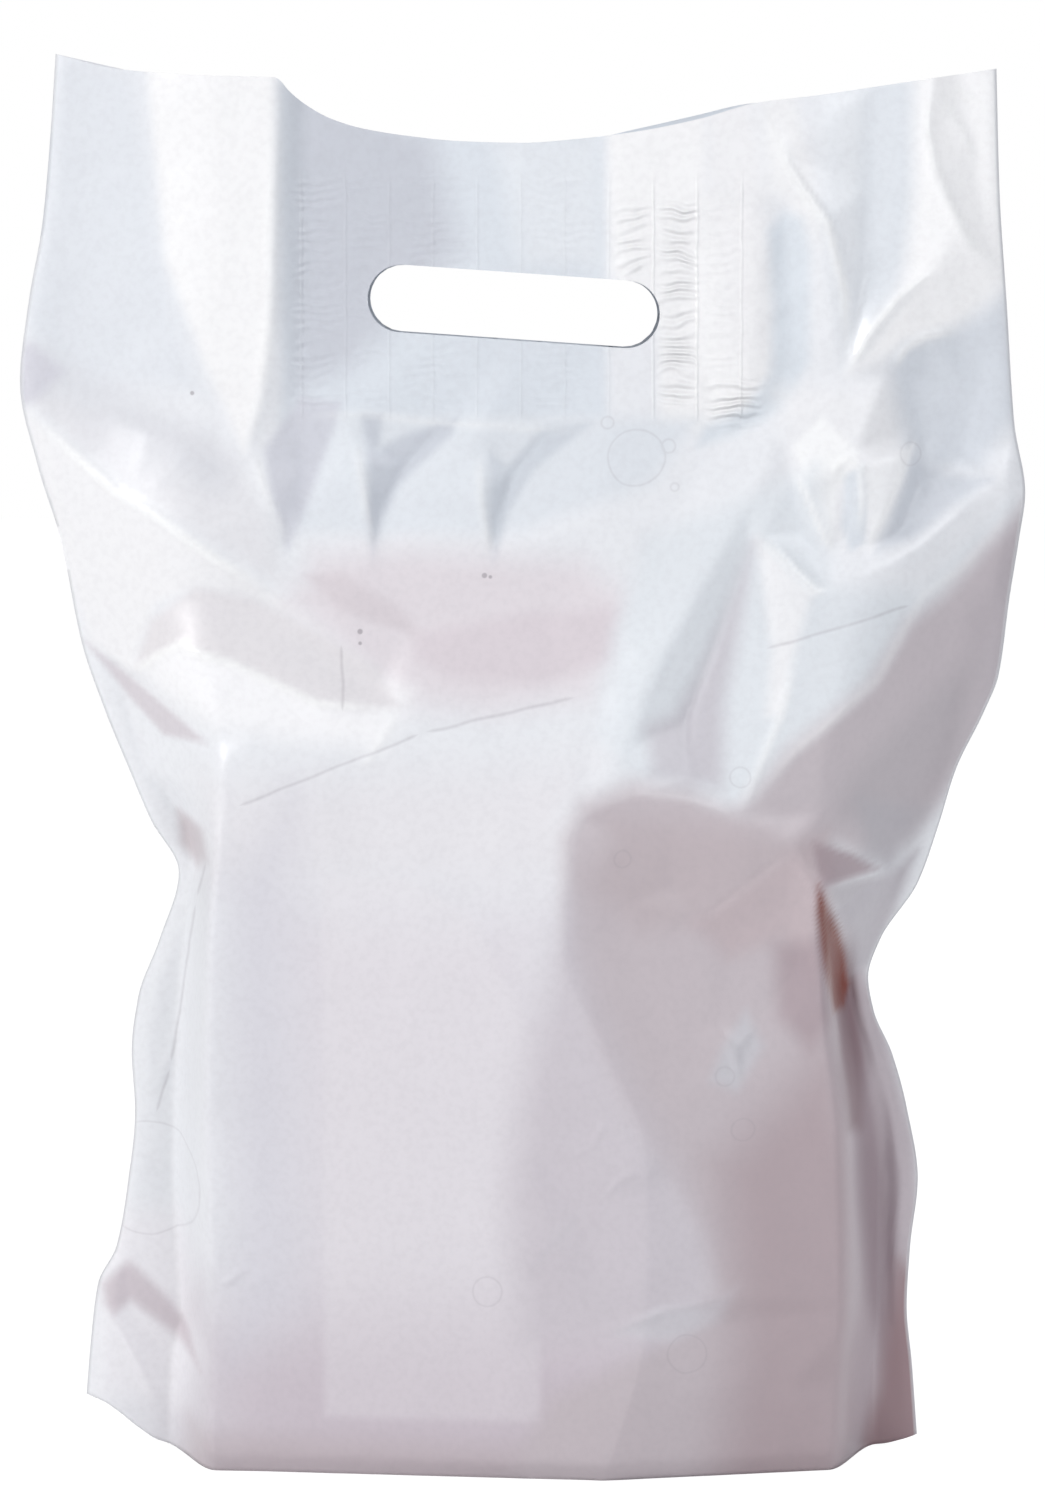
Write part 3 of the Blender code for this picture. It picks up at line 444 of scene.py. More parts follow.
def crease_lift(creases, x, z):
    lift = np.zeros_like(x)
    for width, height, *line in creases:
        nearest, place = np.full_like(x, 1e9), np.zeros_like(x)
        for k, (start, end) in enumerate(zip(line, line[1:])):
            distance, t = line_distance(start, end, x, z)
            closer = distance < nearest
            nearest = np.where(closer, distance, nearest)
            place = np.where(closer, (k + t) / (len(line) - 1), place)
        taper = smooth_step(4 * place) * smooth_step(4 * (1 - place))
        lift += height * taper * np.exp(-((nearest / width) ** 2))
    return lift


def wall_depth(form, surface, creases, x, z, spacing, seed):
    edge = np.minimum(x - smooth_line(left_fold, z), smooth_line(right_fold, z) - x).clip(0)
    least = least_half_gap * (1 - np.exp(-edge / fold_roll))
    lift = fold_share * softened(fold_lift(surface, x, z), spacing, crease_softness)
    waves = crinkle_height * crinkle(x, z, seed, crinkle_size)
    lift += waves + fine_crinkle_height * crinkle(x, z, seed + 5, fine_crinkle_size)
    lift += crease_lift(creases, x, z)
    body = base_depth(form, x, z) + lift * smooth_step(edge / relief_fade)
    return least + np.maximum(0.0, body)


# The hand slot is punched through both walls at once: an oblong with round ends, tilted with the handle.
slot_length = 100.0
slot_height = 23.0
slot_middle = (-3.0, 400.5)
handle_tilt = math.radians(-4.0)
punch_rounds = 3


def slot_distance(x, z):
    """How far a place lies outside the slot, negative within it, and the nearest point on its middle line."""
    along = np.array([math.cos(handle_tilt), math.sin(handle_tilt)])
    half = (slot_length - slot_height) / 2
    t = ((x - slot_middle[0]) * along[0] + (z - slot_middle[1]) * along[1]).clip(-half, half)
    near_x, near_z = slot_middle[0] + t * along[0], slot_middle[1] + t * along[1]
    return np.hypot(x - near_x, z - near_z) - slot_height / 2, near_x, near_z


def punch(x, z, triangles):
    """Moves the points beside the slot's edge onto it and leaves out the triangles within it."""
    for _ in range(punch_rounds):
        gap, near_x, near_z = slot_distance(x, z)
        pairs = np.concatenate([triangles[:, [0, 1]], triangles[:, [1, 2]], triangles[:, [2, 0]]])
        crossing = pairs[gap[pairs[:, 0]] * gap[pairs[:, 1]] < -1e-9]
        a, b = crossing[:, 0], crossing[:, 1]
        moved = np.unique(np.where(np.abs(gap[a]) < np.abs(gap[b]), a, b))
        scale = slot_height / 2 / (gap[moved] + slot_height / 2)
        x[moved] = near_x[moved] + (x[moved] - near_x[moved]) * scale
        z[moved] = near_z[moved] + (z[moved] - near_z[moved]) * scale
    gap = slot_distance(x, z)[0]
    return triangles[gap[triangles].mean(axis=1) > 0]


def grid_triangles(rows, columns):
    corner = (np.arange(rows - 1)[:, None] * columns + np.arange(columns - 1)).ravel()
    first = np.stack([corner, corner + 1, corner + columns + 1], axis=1)
    second = np.stack([corner, corner + columns + 1, corner + columns], axis=1)
    return np.concatenate([first, second])


# The back wall has half as many columns as the front, so that the two meet point by point along the weld of
# the base, and as many rows, so that they meet along the side folds. The plane of the side folds is a little
# behind the middle of the box that the bag fills.
bag_width = 340.0
bag_height = 487.0
rows = 291
front_columns = 221
back_columns = 111
side_fold_plane = 1.5 * MM
front_seed, back_seed = 3.0, 9.0


def wall_mesh(form, folds, creases, mouth, columns, side, seed):
    """Points in metres and triangles of one wall; side is -1 for the front and 1 for the back."""
    x, z = wall_grid(mouth, columns, rows)
    spacing = (bag_height / rows, bag_width / columns)
    depth = wall_depth(form, fold_surface(folds), creases, x, z, spacing, seed)
    y = side * depth * MM + side_fold_plane
    points = np.stack([x.ravel() * MM, y.ravel(), z.ravel() * MM], axis=1)
    flat_x, flat_z = x.ravel().copy(), z.ravel().copy()
    triangles = punch(flat_x, flat_z, grid_triangles(rows, columns))
    points[:, 0], points[:, 2] = flat_x * MM, flat_z * MM
    return points, triangles if side < 0 else triangles[:, ::-1]


front_points, front_triangles = wall_mesh(
    front_form, front_folds, front_creases, front_mouth, front_columns, -1, front_seed)
back_points, back_triangles = wall_mesh(
    back_form, back_folds, back_creases, back_mouth, back_columns, 1, back_seed)

base_weld = front_points[:front_columns].copy()
base_weld[:, 1] = side_fold_plane


def foot_mesh(edge, side):
    """Film from the weld in the middle of the base to a wall's lower edge."""
    step = (len(base_weld) - 1) // (len(edge) - 1)
    triangles = []
    for k in range(len(edge) - 1):
        near, far = len(base_weld) + k, len(base_weld) + k + 1
        middle = step * k + step // 2
        triangles += [(j, j + 1, near if j < middle else far) for j in range(step * k, step * (k + 1))]
        triangles.append((middle, far, near))
    triangles = np.array(triangles)
    return np.concatenate([base_weld, edge]), triangles if side < 0 else triangles[:, ::-1]


front_foot, front_foot_triangles = foot_mesh(front_points[:front_columns], -1)
back_foot, back_foot_triangles = foot_mesh(back_points[:back_columns], 1)


def add_mesh(name, parts):
    """One smooth mesh object from several lots of points and triangles."""
    points = np.concatenate([p for p, _ in parts])
    starts = np.cumsum([0] + [len(p) for p, _ in parts[:-1]])
    triangles = np.concatenate([t + start for (_, t), start in zip(parts, starts)])
    mesh = bpy.data.meshes.new(name)
    mesh.from_pydata(points.tolist(), [], triangles.tolist())
    mesh.validate()
    mesh.shade_smooth()
    thing = bpy.data.objects.new(name, mesh)
    bpy.context.scene.collection.objects.link(thing)
    return thing


join_distance = 0.02 * MM
film = add_mesh("carrier_bag_film", [
    (front_points, front_triangles),
    (back_points, back_triangles),
    (front_foot, front_foot_triangles),
    (back_foot, back_foot_triangles),
])
welded = bmesh.new()
welded.from_mesh(film.data)
bmesh.ops.remove_doubles(welded, verts=welded.verts[:], dist=join_distance)
stray = [v for v in welded.verts if not v.link_faces]
bmesh.ops.delete(welded, geom=stray, context="VERTS")
welded.to_mesh(film.data)
welded.free()
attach(film, "root")
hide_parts("bag_film")


def colour(red, green, blue):
    """A colour as the eye reads it, 0 to 255, as the linear colour that a shader takes."""
    def linear(value):
        part = value / 255
        return part / 12.92 if part <= 0.04045 else ((part + 0.055) / 1.055) ** 2.4
    return (linear(red), linear(green), linear(blue), 1.0)


# Painted light and shade on the milky film of the front: painted shade, bluish in the hollows and where the
# film lies double, pinkish to brown over the filled-out body and darkest in the deep fold at the right,
# partly the tint of the contents behind the film, and painted highlights on the facets that face the light.
# Each is a colour, its strength, how softly it ends, and its outline in x and z.
front_painted_light_and_shade = [
    ((226, 229, 235), 0.9, 8, [
        (-170, 490), (-131, 482), (-124, 430), (-110, 372), (-150, 372), (-176, 392),
    ]),
    ((247, 246, 247), 0.9, 3, [(-128, 482), (-84, 480), (-86, 384), (-95, 351), (-108, 380), (-122, 416)]),
    ((224, 229, 236), 1.0, 3, [(-82, 482), (28, 462), (29, 362), (-82, 362)]),
    ((200, 202, 211), 0.8, 9, [(-78, 478), (-50, 466), (-30, 458), (-22, 420), (-58, 380), (-78, 372)]),
    ((235, 238, 243), 0.9, 7, [(-10, 460), (27, 460), (28, 414), (0, 414)]),
    ((248, 247, 248), 0.9, 3, [
        (29, 470), (62, 470), (62, 440), (82, 430), (84, 376), (76, 358), (60, 358), (47, 362), (46, 392),
        (30, 412),
    ]),
    ((243, 242, 244), 0.9, 5, [(62, 472), (78, 472), (83, 440), (84, 384), (73, 380), (62, 440)]),
    ((247, 246, 247), 0.8, 4, [
        (80, 474), (92, 474), (100, 440), (102, 420), (98, 428), (90, 436), (84, 440),
    ]),
    ((222, 228, 235), 0.9, 3, [
        (84, 426), (89, 433), (95, 430), (98, 418), (98, 382), (90, 366), (74, 357), (60, 353), (62, 360),
        (76, 366), (85, 378), (86, 400),
    ]),
    ((240, 242, 246), 1.0, 4, [
        (101, 478), (133, 478), (132, 440), (130, 415), (118, 393), (110, 379), (107, 395), (103, 420),
    ]),
    ((227, 231, 237), 0.8, 5, [
        (117, 478), (137, 478), (135, 440), (137, 424), (126, 404), (116, 396), (115, 440),
    ]),
    ((255, 254, 255), 1.0, 5, [
        (134, 484), (166, 484), (168, 410), (150, 394), (130, 386), (112, 378), (130, 404), (134, 440),
    ]),
    ((222, 226, 233), 1.0, 5, [
        (127, 382), (131, 387), (150, 393), (166, 402), (172, 365), (158, 345), (128, 344),
    ]),
    ((227, 231, 237), 0.9, 5, [(-82, 364), (60, 362), (44, 340), (0, 324), (-50, 322), (-78, 324)]),
    ((211, 212, 221), 0.9, 2, [
        (-88, 352), (-76, 370), (-62, 368), (-64, 360), (-74, 332), (-80.5, 317), (-86, 334),
    ]),
    ((205, 209, 218), 0.9, 2, [
        (-55, 364), (-48, 364), (-49, 352), (-42, 356), (-22, 363), (-24, 357), (-42, 340), (-48, 328),
        (-51, 314), (-54, 326), (-52, 342),
    ]),
    ((209, 214, 222), 0.9, 2, [
        (24, 361), (8, 360), (-5, 346), (-11, 350), (-11, 330), (-10, 312), (-5, 330), (4, 345),
    ]),
    ((231, 230, 234), 0.8, 5, [
        (-174, 376), (-152, 368), (-106, 354), (-97, 347), (-86, 326), (-82, 306), (-134, 337), (-170, 367),
    ]),
    ((217, 218, 224), 0.7, 8, [
        (-170, 387), (-150, 379), (-125, 367), (-103, 353), (-97, 346), (-102, 336), (-124, 345),
        (-146, 358), (-168, 374),
    ]),
    ((222, 222, 227), 0.6, 7, [(-152, 364), (-126, 352), (-118, 338), (-138, 342), (-154, 354)]),
    ((243, 242, 244), 0.9, 3, [
        (-172, 364), (-134, 333), (-86, 303), (-68, 291), (-92, 301), (-112, 305), (-126, 299), (-136, 275),
        (-150, 284), (-162, 320),
    ]),
    ((244, 243, 245), 0.7, 7, [(86, 372), (124, 374), (134, 350), (116, 320), (104, 320), (92, 346)]),
    ((212, 216, 224), 0.9, 3, [(122, 318), (134, 348), (146, 343), (162, 341), (148, 332), (134, 321)]),
    ((252, 252, 253), 0.9, 1.5, [(92, 353), (102, 363), (115, 351), (113, 345), (107.5, 339), (106, 317)]),
    ((220, 225, 232), 0.9, 1.5, [(110, 343), (116, 347), (117.5, 332), (117, 320), (112, 317), (109, 326)]),
    ((251, 251, 253), 0.9, 1.5, [(117, 346), (135, 354), (127, 333), (119, 317)]),
    ((230, 222, 227), 0.9, 9, [
        (-80, 300), (-70, 316), (-40, 318), (-12, 316), (20, 314), (36, 302), (32, 284), (22, 268),
        (-12, 263), (-40, 266), (-56, 278),
    ]),
    ((222, 212, 218), 0.8, 4, [
        (-38, 289), (0, 296), (34, 298), (30, 280), (4, 272), (-24, 274), (-36, 280),
    ]),
    ((221, 212, 217), 0.8, 2.5, [(-74, 309), (-62, 297), (-34, 288), (-42, 298), (-62, 310)]),
    ((229, 233, 238), 0.9, 6, [
        (42, 322), (78, 336), (100, 346), (106, 306), (138, 303), (168, 332), (150, 311), (122, 276),
        (93, 252), (73, 230), (40, 238), (26, 256), (32, 290),
    ]),
    ((246, 245, 247), 0.8, 3, [(80, 322), (90, 312), (99, 304), (93, 284), (88, 262), (83, 262), (85, 284)]),
    ((203, 199, 206), 0.9, 5, [
        (79, 320), (71, 300), (60, 275), (52, 262), (42, 258), (44, 242), (56, 238), (68, 238), (69, 266),
        (74, 290),
    ]),
    ((203, 194, 199), 1.0, 6, [
        (184, 342), (157, 315), (145, 302), (132, 293), (118, 272), (90, 250), (73, 229), (104, 218),
        (116, 212), (126, 211), (146, 230), (174, 270),
    ]),
    ((186, 178, 184), 0.8, 7, [(178, 332), (162, 314), (154, 292), (158, 262), (182, 274)]),
    ((191, 184, 189), 0.9, 8, [(164, 286), (142, 268), (112, 240), (108, 226), (134, 216), (156, 246)]),
    ((222, 214, 221), 0.7, 30, [(-90, 200), (10, 200), (20, 150), (60, 100), (40, -10), (-90, -10)]),
    ((203, 191, 200), 0.8, 30, [(-120, 56), (60, 60), (60, -30), (-120, -30)]),
    ((233, 230, 234), 0.8, 14, [(-108, 238), (20, 246), (16, 208), (-108, 206)]),
    ((243, 241, 245), 0.9, 8, [(-150, 84), (-122, 84), (-112, 40), (-120, 16), (-150, 18)]),
    ((212, 202, 208), 0.9, 2.5, [
        (-148, 58), (-139, 66), (-136, 64), (-125, 53), (-116, 43), (-112, 33), (-121, 39), (-129, 45),
        (-138, 52), (-144, 47), (-147, 51),
    ]),
    ((206, 197, 201), 0.9, 2.5, [(-120, 226), (-110, 222), (-108, 212), (-113, 207), (-119, 214)]),
    ((196, 184, 189), 0.8, 7, [(-116, 14), (60, 12), (110, 16), (116, -10), (-120, -10)]),
    ((228, 229, 234), 0.9, 2, [(4, 75), (10, 88), (20, 96), (17, 86)]),
    ((236, 232, 236), 0.35, 2, [(-68, 207), (-40, 207), (-18, 196), (6, 150), (6, 21), (-68, 21)]),
    ((203, 193, 198), 1.0, 6, [
        (14, 221), (20, 233), (38, 240), (56, 237), (74, 229), (104, 229), (112, 150), (122, 60), (126, -10),
        (-10, -10), (10, 30), (45, 48), (60, 58), (66, 68), (60, 86), (47, 106), (34, 127), (22, 150),
        (15, 181),
    ]),
    ((193, 180, 184), 0.7, 8, [(30, 228), (74, 224), (98, 218), (60, 192), (40, 190), (24, 205)]),
    ((200, 184, 188), 0.8, 5, [
        (58, 192), (93, 217), (104, 222), (106, 180), (98, 170), (88, 186), (70, 180),
    ]),
    ((180, 163, 169), 0.9, 5, [(86, 184), (104, 186), (107, 158), (98, 148), (87, 160)]),
    ((206, 205, 211), 0.8, 3, [(68, 150), (76, 162), (82, 150), (73, 135), (64, 139)]),
    ((208, 201, 208), 0.9, 11, [
        (16, 200), (24, 165), (38, 134), (52, 108), (66, 84), (64, 58), (0, 48), (-6, 100), (2, 150),
    ]),
    ((219, 216, 222), 0.8, 3, [(74, 69), (67, 56), (50, 50), (32, 53), (46, 62), (62, 62)]),
    ((216, 214, 223), 0.6, 15, [(-100, 205), (-78, 235), (-76, 60), (-100, 40)]),
    ((181, 164, 169), 0.9, 16, [(66, 110), (104, 150), (124, 100), (116, -10), (66, -10), (72, 50)]),
    ((196, 184, 190), 0.9, 4, [
        (110, 192), (124, 160), (138, 110), (142, 60), (142, -10), (116, -10), (112, 90), (110, 150),
    ]),
    ((166, 150, 157), 0.9, 4, [
        (108, 164), (112, 141), (114.5, 121), (116.5, 94), (120.5, 57), (127, 29), (133, 14), (136, 30),
        (133, 60), (130, 84), (126, 110), (120, 140), (116, 160), (113, 170),
    ]),
    ((142, 118, 124), 0.9, 3, [
        (107, 168), (109, 145), (112, 120), (118, 116), (119, 140), (117, 160), (115, 172), (112, 180),
    ]),
    ((134, 72, 60), 1.0, 1.5, [
        (100.5, 205), (104, 198), (109, 187), (112.5, 176), (114, 165), (112, 158), (107, 160), (103, 177),
        (100.5, 195),
    ]),
    ((160, 132, 136), 0.9, 5, [(132, 66), (142, 58), (142, -10), (116, -10), (125, 20)]),
    ((182, 164, 170), 0.9, 1.5, [(99, 219), (113, 213), (124, 206), (102, 203)]),
    ((188, 184, 190), 0.9, 5, [(116, 232), (140, 226), (128, 204), (118, 212)]),
    ((196, 191, 197), 0.9, 3, [
        (104, 204), (128, 204), (138, 212), (130, 190), (122, 172), (115, 168), (112, 184),
    ]),
    ((214, 213, 222), 0.9, 3, [(-168, 387), (-158, 378), (-168, 368), (-178, 364), (-178, 390)]),
    ((252, 251, 253), 0.9, 7, [
        (-138, 276), (-120, 290), (-98, 284), (-70, 271), (-38, 270), (-48, 251), (-80, 254), (-104, 258),
        (-116, 262),
    ]),
    ((231, 227, 230), 0.9, 2.5, [
        (-134, 276), (-128, 293), (-112, 305), (-92, 301), (-70, 290), (-50, 278), (-42, 265), (-54, 263.5),
        (-70, 266), (-98, 279), (-118, 285),
    ]),
    ((212, 204, 210), 0.8, 1.5, [(-152, 285), (-134, 271), (-108, 252), (-124, 253), (-136, 265)]),
]

# Painted light and shade of the back, in the same way: painted shade, bluish below the mouth and pinkish low
# on the body
back_painted_light_and_shade = [
    ((224, 230, 238), 0.8, 8, [(-82, 482), (78, 482), (78, 362), (-82, 362)]),
    ((216, 207, 213), 0.8, 40, [(-120, 140), (120, 140), (130, -30), (-130, -30)]),
]
film_white = colour(238, 239, 243)


def within(outline, x, z):
    """How far each place lies inside the outline, negative outside it."""
    inside, nearest = np.zeros(x.shape, bool), np.full(x.shape, 1e9)
    for start, end in zip(outline, outline[1:] + outline[:1]):
        nearest = np.minimum(nearest, line_distance(start, end, x, z)[0])
        if start[1] != end[1]:
            crossing = start[0] + (z - start[1]) * (end[0] - start[0]) / (end[1] - start[1])
            inside ^= ((start[1] > z) != (end[1] > z)) & (x < crossing)
    return np.where(inside, nearest, -nearest)


def paint_light_and_shade(painted_shading, x, z):
    result = np.tile(np.array(film_white), (len(x), 1))
    for tone, strength, softness, outline in painted_shading:
        amount = strength * smooth_step(0.5 + within(outline, x, z) / (2 * softness))
        result += amount[:, None] * (np.array(colour(*tone)) - result)
    return result


places = np.empty(3 * len(film.data.vertices), np.float32)
film.data.vertices.foreach_get("co", places)
places = places.reshape(-1, 3).astype(float)
in_front = places[:, 1] < side_fold_plane
across, up = places[:, 0] / MM, places[:, 2] / MM
# The film's colour at each point: white, with the painted light and shade laid over it
painted_shading = np.where(in_front[:, None], paint_light_and_shade(front_painted_light_and_shade, across, up), paint_light_and_shade(back_painted_light_and_shade, across, up))

# Painted highlights: the film is painted white along the raised sharp creases of the upper half, where their
# ridges catch the light and the folded film whitens
ridge_highlight = 0.7
ridge_highlight_start, ridge_highlight_run = 228, 22
painted_ridge_highlight = ridge_highlight * in_front * crease_lift(front_creases, across, up).clip(0, 1)
painted_ridge_highlight *= smooth_step((up - ridge_highlight_start) / ridge_highlight_run)
painted_shading += painted_ridge_highlight[:, None] * (np.array(colour(255, 255, 255)) - painted_shading)


def film_values(name, kind, field, values):
    """Keeps a value for each point of the film, for its material to read."""
    attribute = film.data.attributes.new(name, kind, "POINT")
    attribute.data.foreach_set(field, values.astype(np.float32).ravel())


# The film's colour, with its painted light, shade and highlights, kept at each point for its material
film_values("tone", "FLOAT_COLOR", "color", painted_shading)

# Strips between the glue lines of the patch, where the film puckers: left, right, bottom, top and height
pucker_strips = [
    (31, 44, 410, 437, 0.30), (46, 60, 366, 437, 0.38), (62, 82, 358, 377, 0.42), (61, 74, 377, 437, 0.12),
    (-80, -61, 364, 446, 0.11), (-60, -46, 364, 446, 0.07), (-44, -16, 364, 446, 0.10),
    (1, 28, 364, 446, 0.06),
]
strip_end, strip_fullness = 3, 0.6
pucker = np.zeros(len(across))
for left, right, bottom, top, height in pucker_strips:
    bell = np.sin(np.pi * ((across - left) / (right - left)).clip(0, 1)) ** strip_fullness
    pucker += height * bell * smooth_step((up - bottom) / strip_end) * smooth_step((top - up) / strip_end)
film_values("pucker", "FLOAT", "value", pucker * in_front)

# Where the upright glue lines run, and how softly they end below and above
glue_middle, glue_half_reach = 1, 81
glue_bottom, glue_top = 361, 448
glue_bottom_end, glue_top_end = 3, 8
glue = (np.abs(across - glue_middle) < glue_half_reach) * smooth_step((up - glue_bottom) / glue_bottom_end)
glue = glue * smooth_step((glue_top - up) / glue_top_end)
film_values("glue", "FLOAT", "value", glue * in_front)


class Shade:
    """A socket of a finish. Sums and products of them add Math nodes."""

    def __init__(self, finish, socket):
        self.finish = finish
        self.socket = socket

    def output(self, number):
        """Another output of the same node."""
        return Shade(self.finish, self.socket.node.outputs[number])

    def __add__(self, other):
        return self.finish.math("ADD", self, other)

    __radd__ = __add__

    def __sub__(self, other):
        return self.finish.math("SUBTRACT", self, other)

    def __rsub__(self, other):
        return self.finish.math("SUBTRACT", other, self)

    def __mul__(self, other):
        return self.finish.math("MULTIPLY", self, other)

    __rmul__ = __mul__

    def __truediv__(self, other):
        return self.finish.math("DIVIDE", self, other)

    def __rtruediv__(self, other):
        return self.finish.math("DIVIDE", other, self)


class Finish:
    """The nodes of a material, or of the world, with one method that adds any node."""

    def __init__(self, owner):
        owner.use_nodes = True
        self.owner = owner
        self.tree = owner.node_tree
        self.shader = self.tree.nodes.get("Principled BSDF")

    def add(self, kind, settings=None, sockets=None, out=0):
        node = self.tree.nodes.new(kind)
        for name, value in (settings or {}).items():
            setattr(node, name, value)
        self.plug(node, sockets or {})
        return Shade(self, node.outputs[out])

    def plug(self, node, sockets):
        for name, value in sockets.items():
            if isinstance(value, Shade):
                self.tree.links.new(value.socket, node.inputs[name])
            else:
                node.inputs[name].default_value = value

    def math(self, operation, *values):
        return self.add("ShaderNodeMath", {"operation": operation}, dict(enumerate(values)))

    def mix(self, amount, first, second):
        """first where amount is 0 and second where it is 1, both colours."""
        settings = {"data_type": "RGBA"}
        return self.add("ShaderNodeMix", settings, {0: amount, 6: first, 7: second}, out=2)

    def ramp(self, value, low, high):
        """0 below low and 1 above high, smoothly between them."""
        settings = {"interpolation_type": "SMOOTHSTEP"}
        return self.add("ShaderNodeMapRange", settings, {0: value, 1: low, 2: high, 3: 0.0, 4: 1.0})


# Milky film: white pigment in clear plastic with a soft gloss. The patch behind it is glued on in upright
# stripes, and puckers the film between them like the rungs of a ladder. Old drops have left faint rings.
plastic = Finish(bpy.data.materials.new("milky_film"))
place = plastic.add("ShaderNodeTexCoord", out=3)
place_parts = plastic.add("ShaderNodeSeparateXYZ", sockets={0: place})
at_x, at_z = place_parts.output(0) / MM, place_parts.output(2) / MM
front_fade = 2 * MM
front_only = plastic.ramp(place_parts.output(1), front_fade, 0.0)
cloud = plastic.add("ShaderNodeTexNoise", sockets={"Vector": place, "Scale": 9.0, "Detail": 2.0})
flutter = plastic.add("ShaderNodeTexNoise", sockets={"Vector": place, "Scale": 80.0, "Detail": 1.0})

# The rungs and the glue lines waver a little, and the lines stand higher towards the right
rung_pitch, rung_waver = 3.5, 9.0
rungs = (at_z + rung_waver * flutter) * (2 * math.pi / rung_pitch)
rungs = plastic.add("ShaderNodeAttribute", {"attribute_name": "pucker"}, out=2) * plastic.math("SINE", rungs)
glue_pitch, glue_half_width, glue_waver = 15.0, 0.8, 0.8
glue_height, glue_extra_height = 0.09, 0.12
beside_glue = plastic.math("PINGPONG", at_x + glue_waver * flutter, glue_pitch / 2)
glue_line = plastic.ramp(beside_glue, glue_half_width, 0.0)
glue_rise = glue_height + glue_extra_height * plastic.ramp(at_x, 25, 40)
glue_ridge = plastic.add("ShaderNodeAttribute", {"attribute_name": "glue"}, out=2) * glue_line * glue_rise

# Small facets of crumpled film
facet_edge, facet_height = 0.35, 0.16
crumple_pattern = {"Vector": place, "Scale": 42.0}
crumple = plastic.add("ShaderNodeTexVoronoi", {"feature": "DISTANCE_TO_EDGE"}, crumple_pattern)
facets = plastic.ramp(crumple, 0.0, facet_edge) * facet_height
height = rungs + glue_ridge + facets * cloud
bump = plastic.add("ShaderNodeBump", sockets={"Height": height, "Strength": 1.0, "Distance": MM})

# The film's colour, with its painted light, shade and highlights, read from its points
tone = plastic.add("ShaderNodeAttribute", {"attribute_name": "tone"})
dark_line = colour(150, 142, 150)

# Rings that drops have left and dark specks, each as the x and z of its middle and its radius
ring_waver, ring_sharpness, ring_strength = 2.0, 1.6, 0.16
speck_edge, speck_strength = 0.6, 0.6
rings = [
    (39, 349, 9.5), (29, 361, 2.2), (50, 353, 2.0), (52, 339, 1.6), (74, 241, 3.2), (34, 214, 2.8),
    (-131, 96, 20.0), (69, 140, 3.4), (75, 122, 3.8), (-12, 66, 5.0), (56, 45, 6.5), (133, 350, 4.0),
]
specks = [(-113, 371, 1.0), (-13, 309, 1.2), (-11, 308.5, 0.9), (-55.5, 290, 1.2), (-55.5, 286, 0.9)]


def distance_from(middle_x, middle_z):
    flat = plastic.add("ShaderNodeCombineXYZ", sockets={0: at_x, 2: at_z})
    ends = {0: flat, 1: (middle_x, 0.0, middle_z)}
    return plastic.add("ShaderNodeVectorMath", {"operation": "DISTANCE"}, ends, out=1)


ring_mark = 0.0
for middle_x, middle_z, radius in rings:
    off = distance_from(middle_x, middle_z) + flutter * ring_waver - (radius + ring_waver / 2)
    ring_mark = plastic.math("MAXIMUM", ring_mark, 1.0 - plastic.math("ABSOLUTE", off) * ring_sharpness)
speck_mark = 0.0
for middle_x, middle_z, radius in specks:
    speck_mark = plastic.math("MAXIMUM", speck_mark, radius - distance_from(middle_x, middle_z))

# Painted shade along hairline creases where the film was folded flat, each from one place to another
hairlines = [
    ((-98, 231), (-34, 256)), ((-34, 256), (19, 268)), ((82, 284), (134, 299)), ((-62, 287), (-61, 262)),
    ((-108, 212), (-113, 196)), ((-113, 196), (-123, 136)), ((-123, 136), (-129, 118)),
]
hairline_half_width, hairline_waver, hairline_end, hairline_shade_strength = 0.9, 1.2, 4, 0.3
hairline_shade = 0.0
for start, end in hairlines:
    length = math.dist(start, end)
    along = ((end[0] - start[0]) / length, (end[1] - start[1]) / length)
    from_x, from_z = at_x - start[0], at_z - start[1]
    off_line = from_x * along[1] - from_z * along[0] + hairline_waver * flutter - hairline_waver / 2
    off_middle = plastic.math("ABSOLUTE", from_x * along[0] + from_z * along[1] - length / 2)
    past_end = plastic.ramp(off_middle, length / 2 - hairline_end, length / 2)
    near = hairline_half_width - plastic.math("ABSOLUTE", off_line) - past_end
    hairline_shade = plastic.math("MAXIMUM", hairline_shade, near)

# All marks together with a fine mottle, as the share of the dark colour, the painted shade of the hairlines
# among them
grain = plastic.add("ShaderNodeTexNoise", sockets={"Vector": place, "Scale": 420.0, "Detail": 2.0})
mottle = 0.06 * plastic.ramp(grain, 0.35, 0.75) + 0.04 * plastic.ramp(cloud, 0.5, 0.75)
glue_mark = 0.5 * glue_ridge * plastic.ramp(at_x, 32, 24)
speck_mark = plastic.ramp(speck_mark, 0.0, speck_edge) * speck_strength
marks = mottle + ring_mark * ring_strength + speck_mark + hairline_shade * hairline_shade_strength + glue_mark
tint = plastic.mix(marks * front_only, tone, dark_line)
plastic.plug(plastic.shader, {
    "Base Color": tint,
    "Roughness": 0.28 + 0.12 * cloud,
    "Normal": bump,
    "Specular IOR Level": 0.4,
    "Coat Weight": 0.09,
    "Coat Roughness": 0.2,
})
film.data.materials.append(plastic.owner)


# The two handle patches: a rectangle of doubled film glued inside each wall around the slot, so that the
# hand doesn't tear it. Each follows its wall just behind it and is tilted with the handle.
patch_middle = 2.0
patch_half_width, patch_half_height = 82.5, 38.0
patch_gap = 0.5 * MM
doubled = Finish(bpy.data.materials.new("doubled_film"))
doubled.plug(doubled.shader, {"Base Color": colour(226, 231, 238), "Roughness": 0.35, "Coat Weight": 0.1})


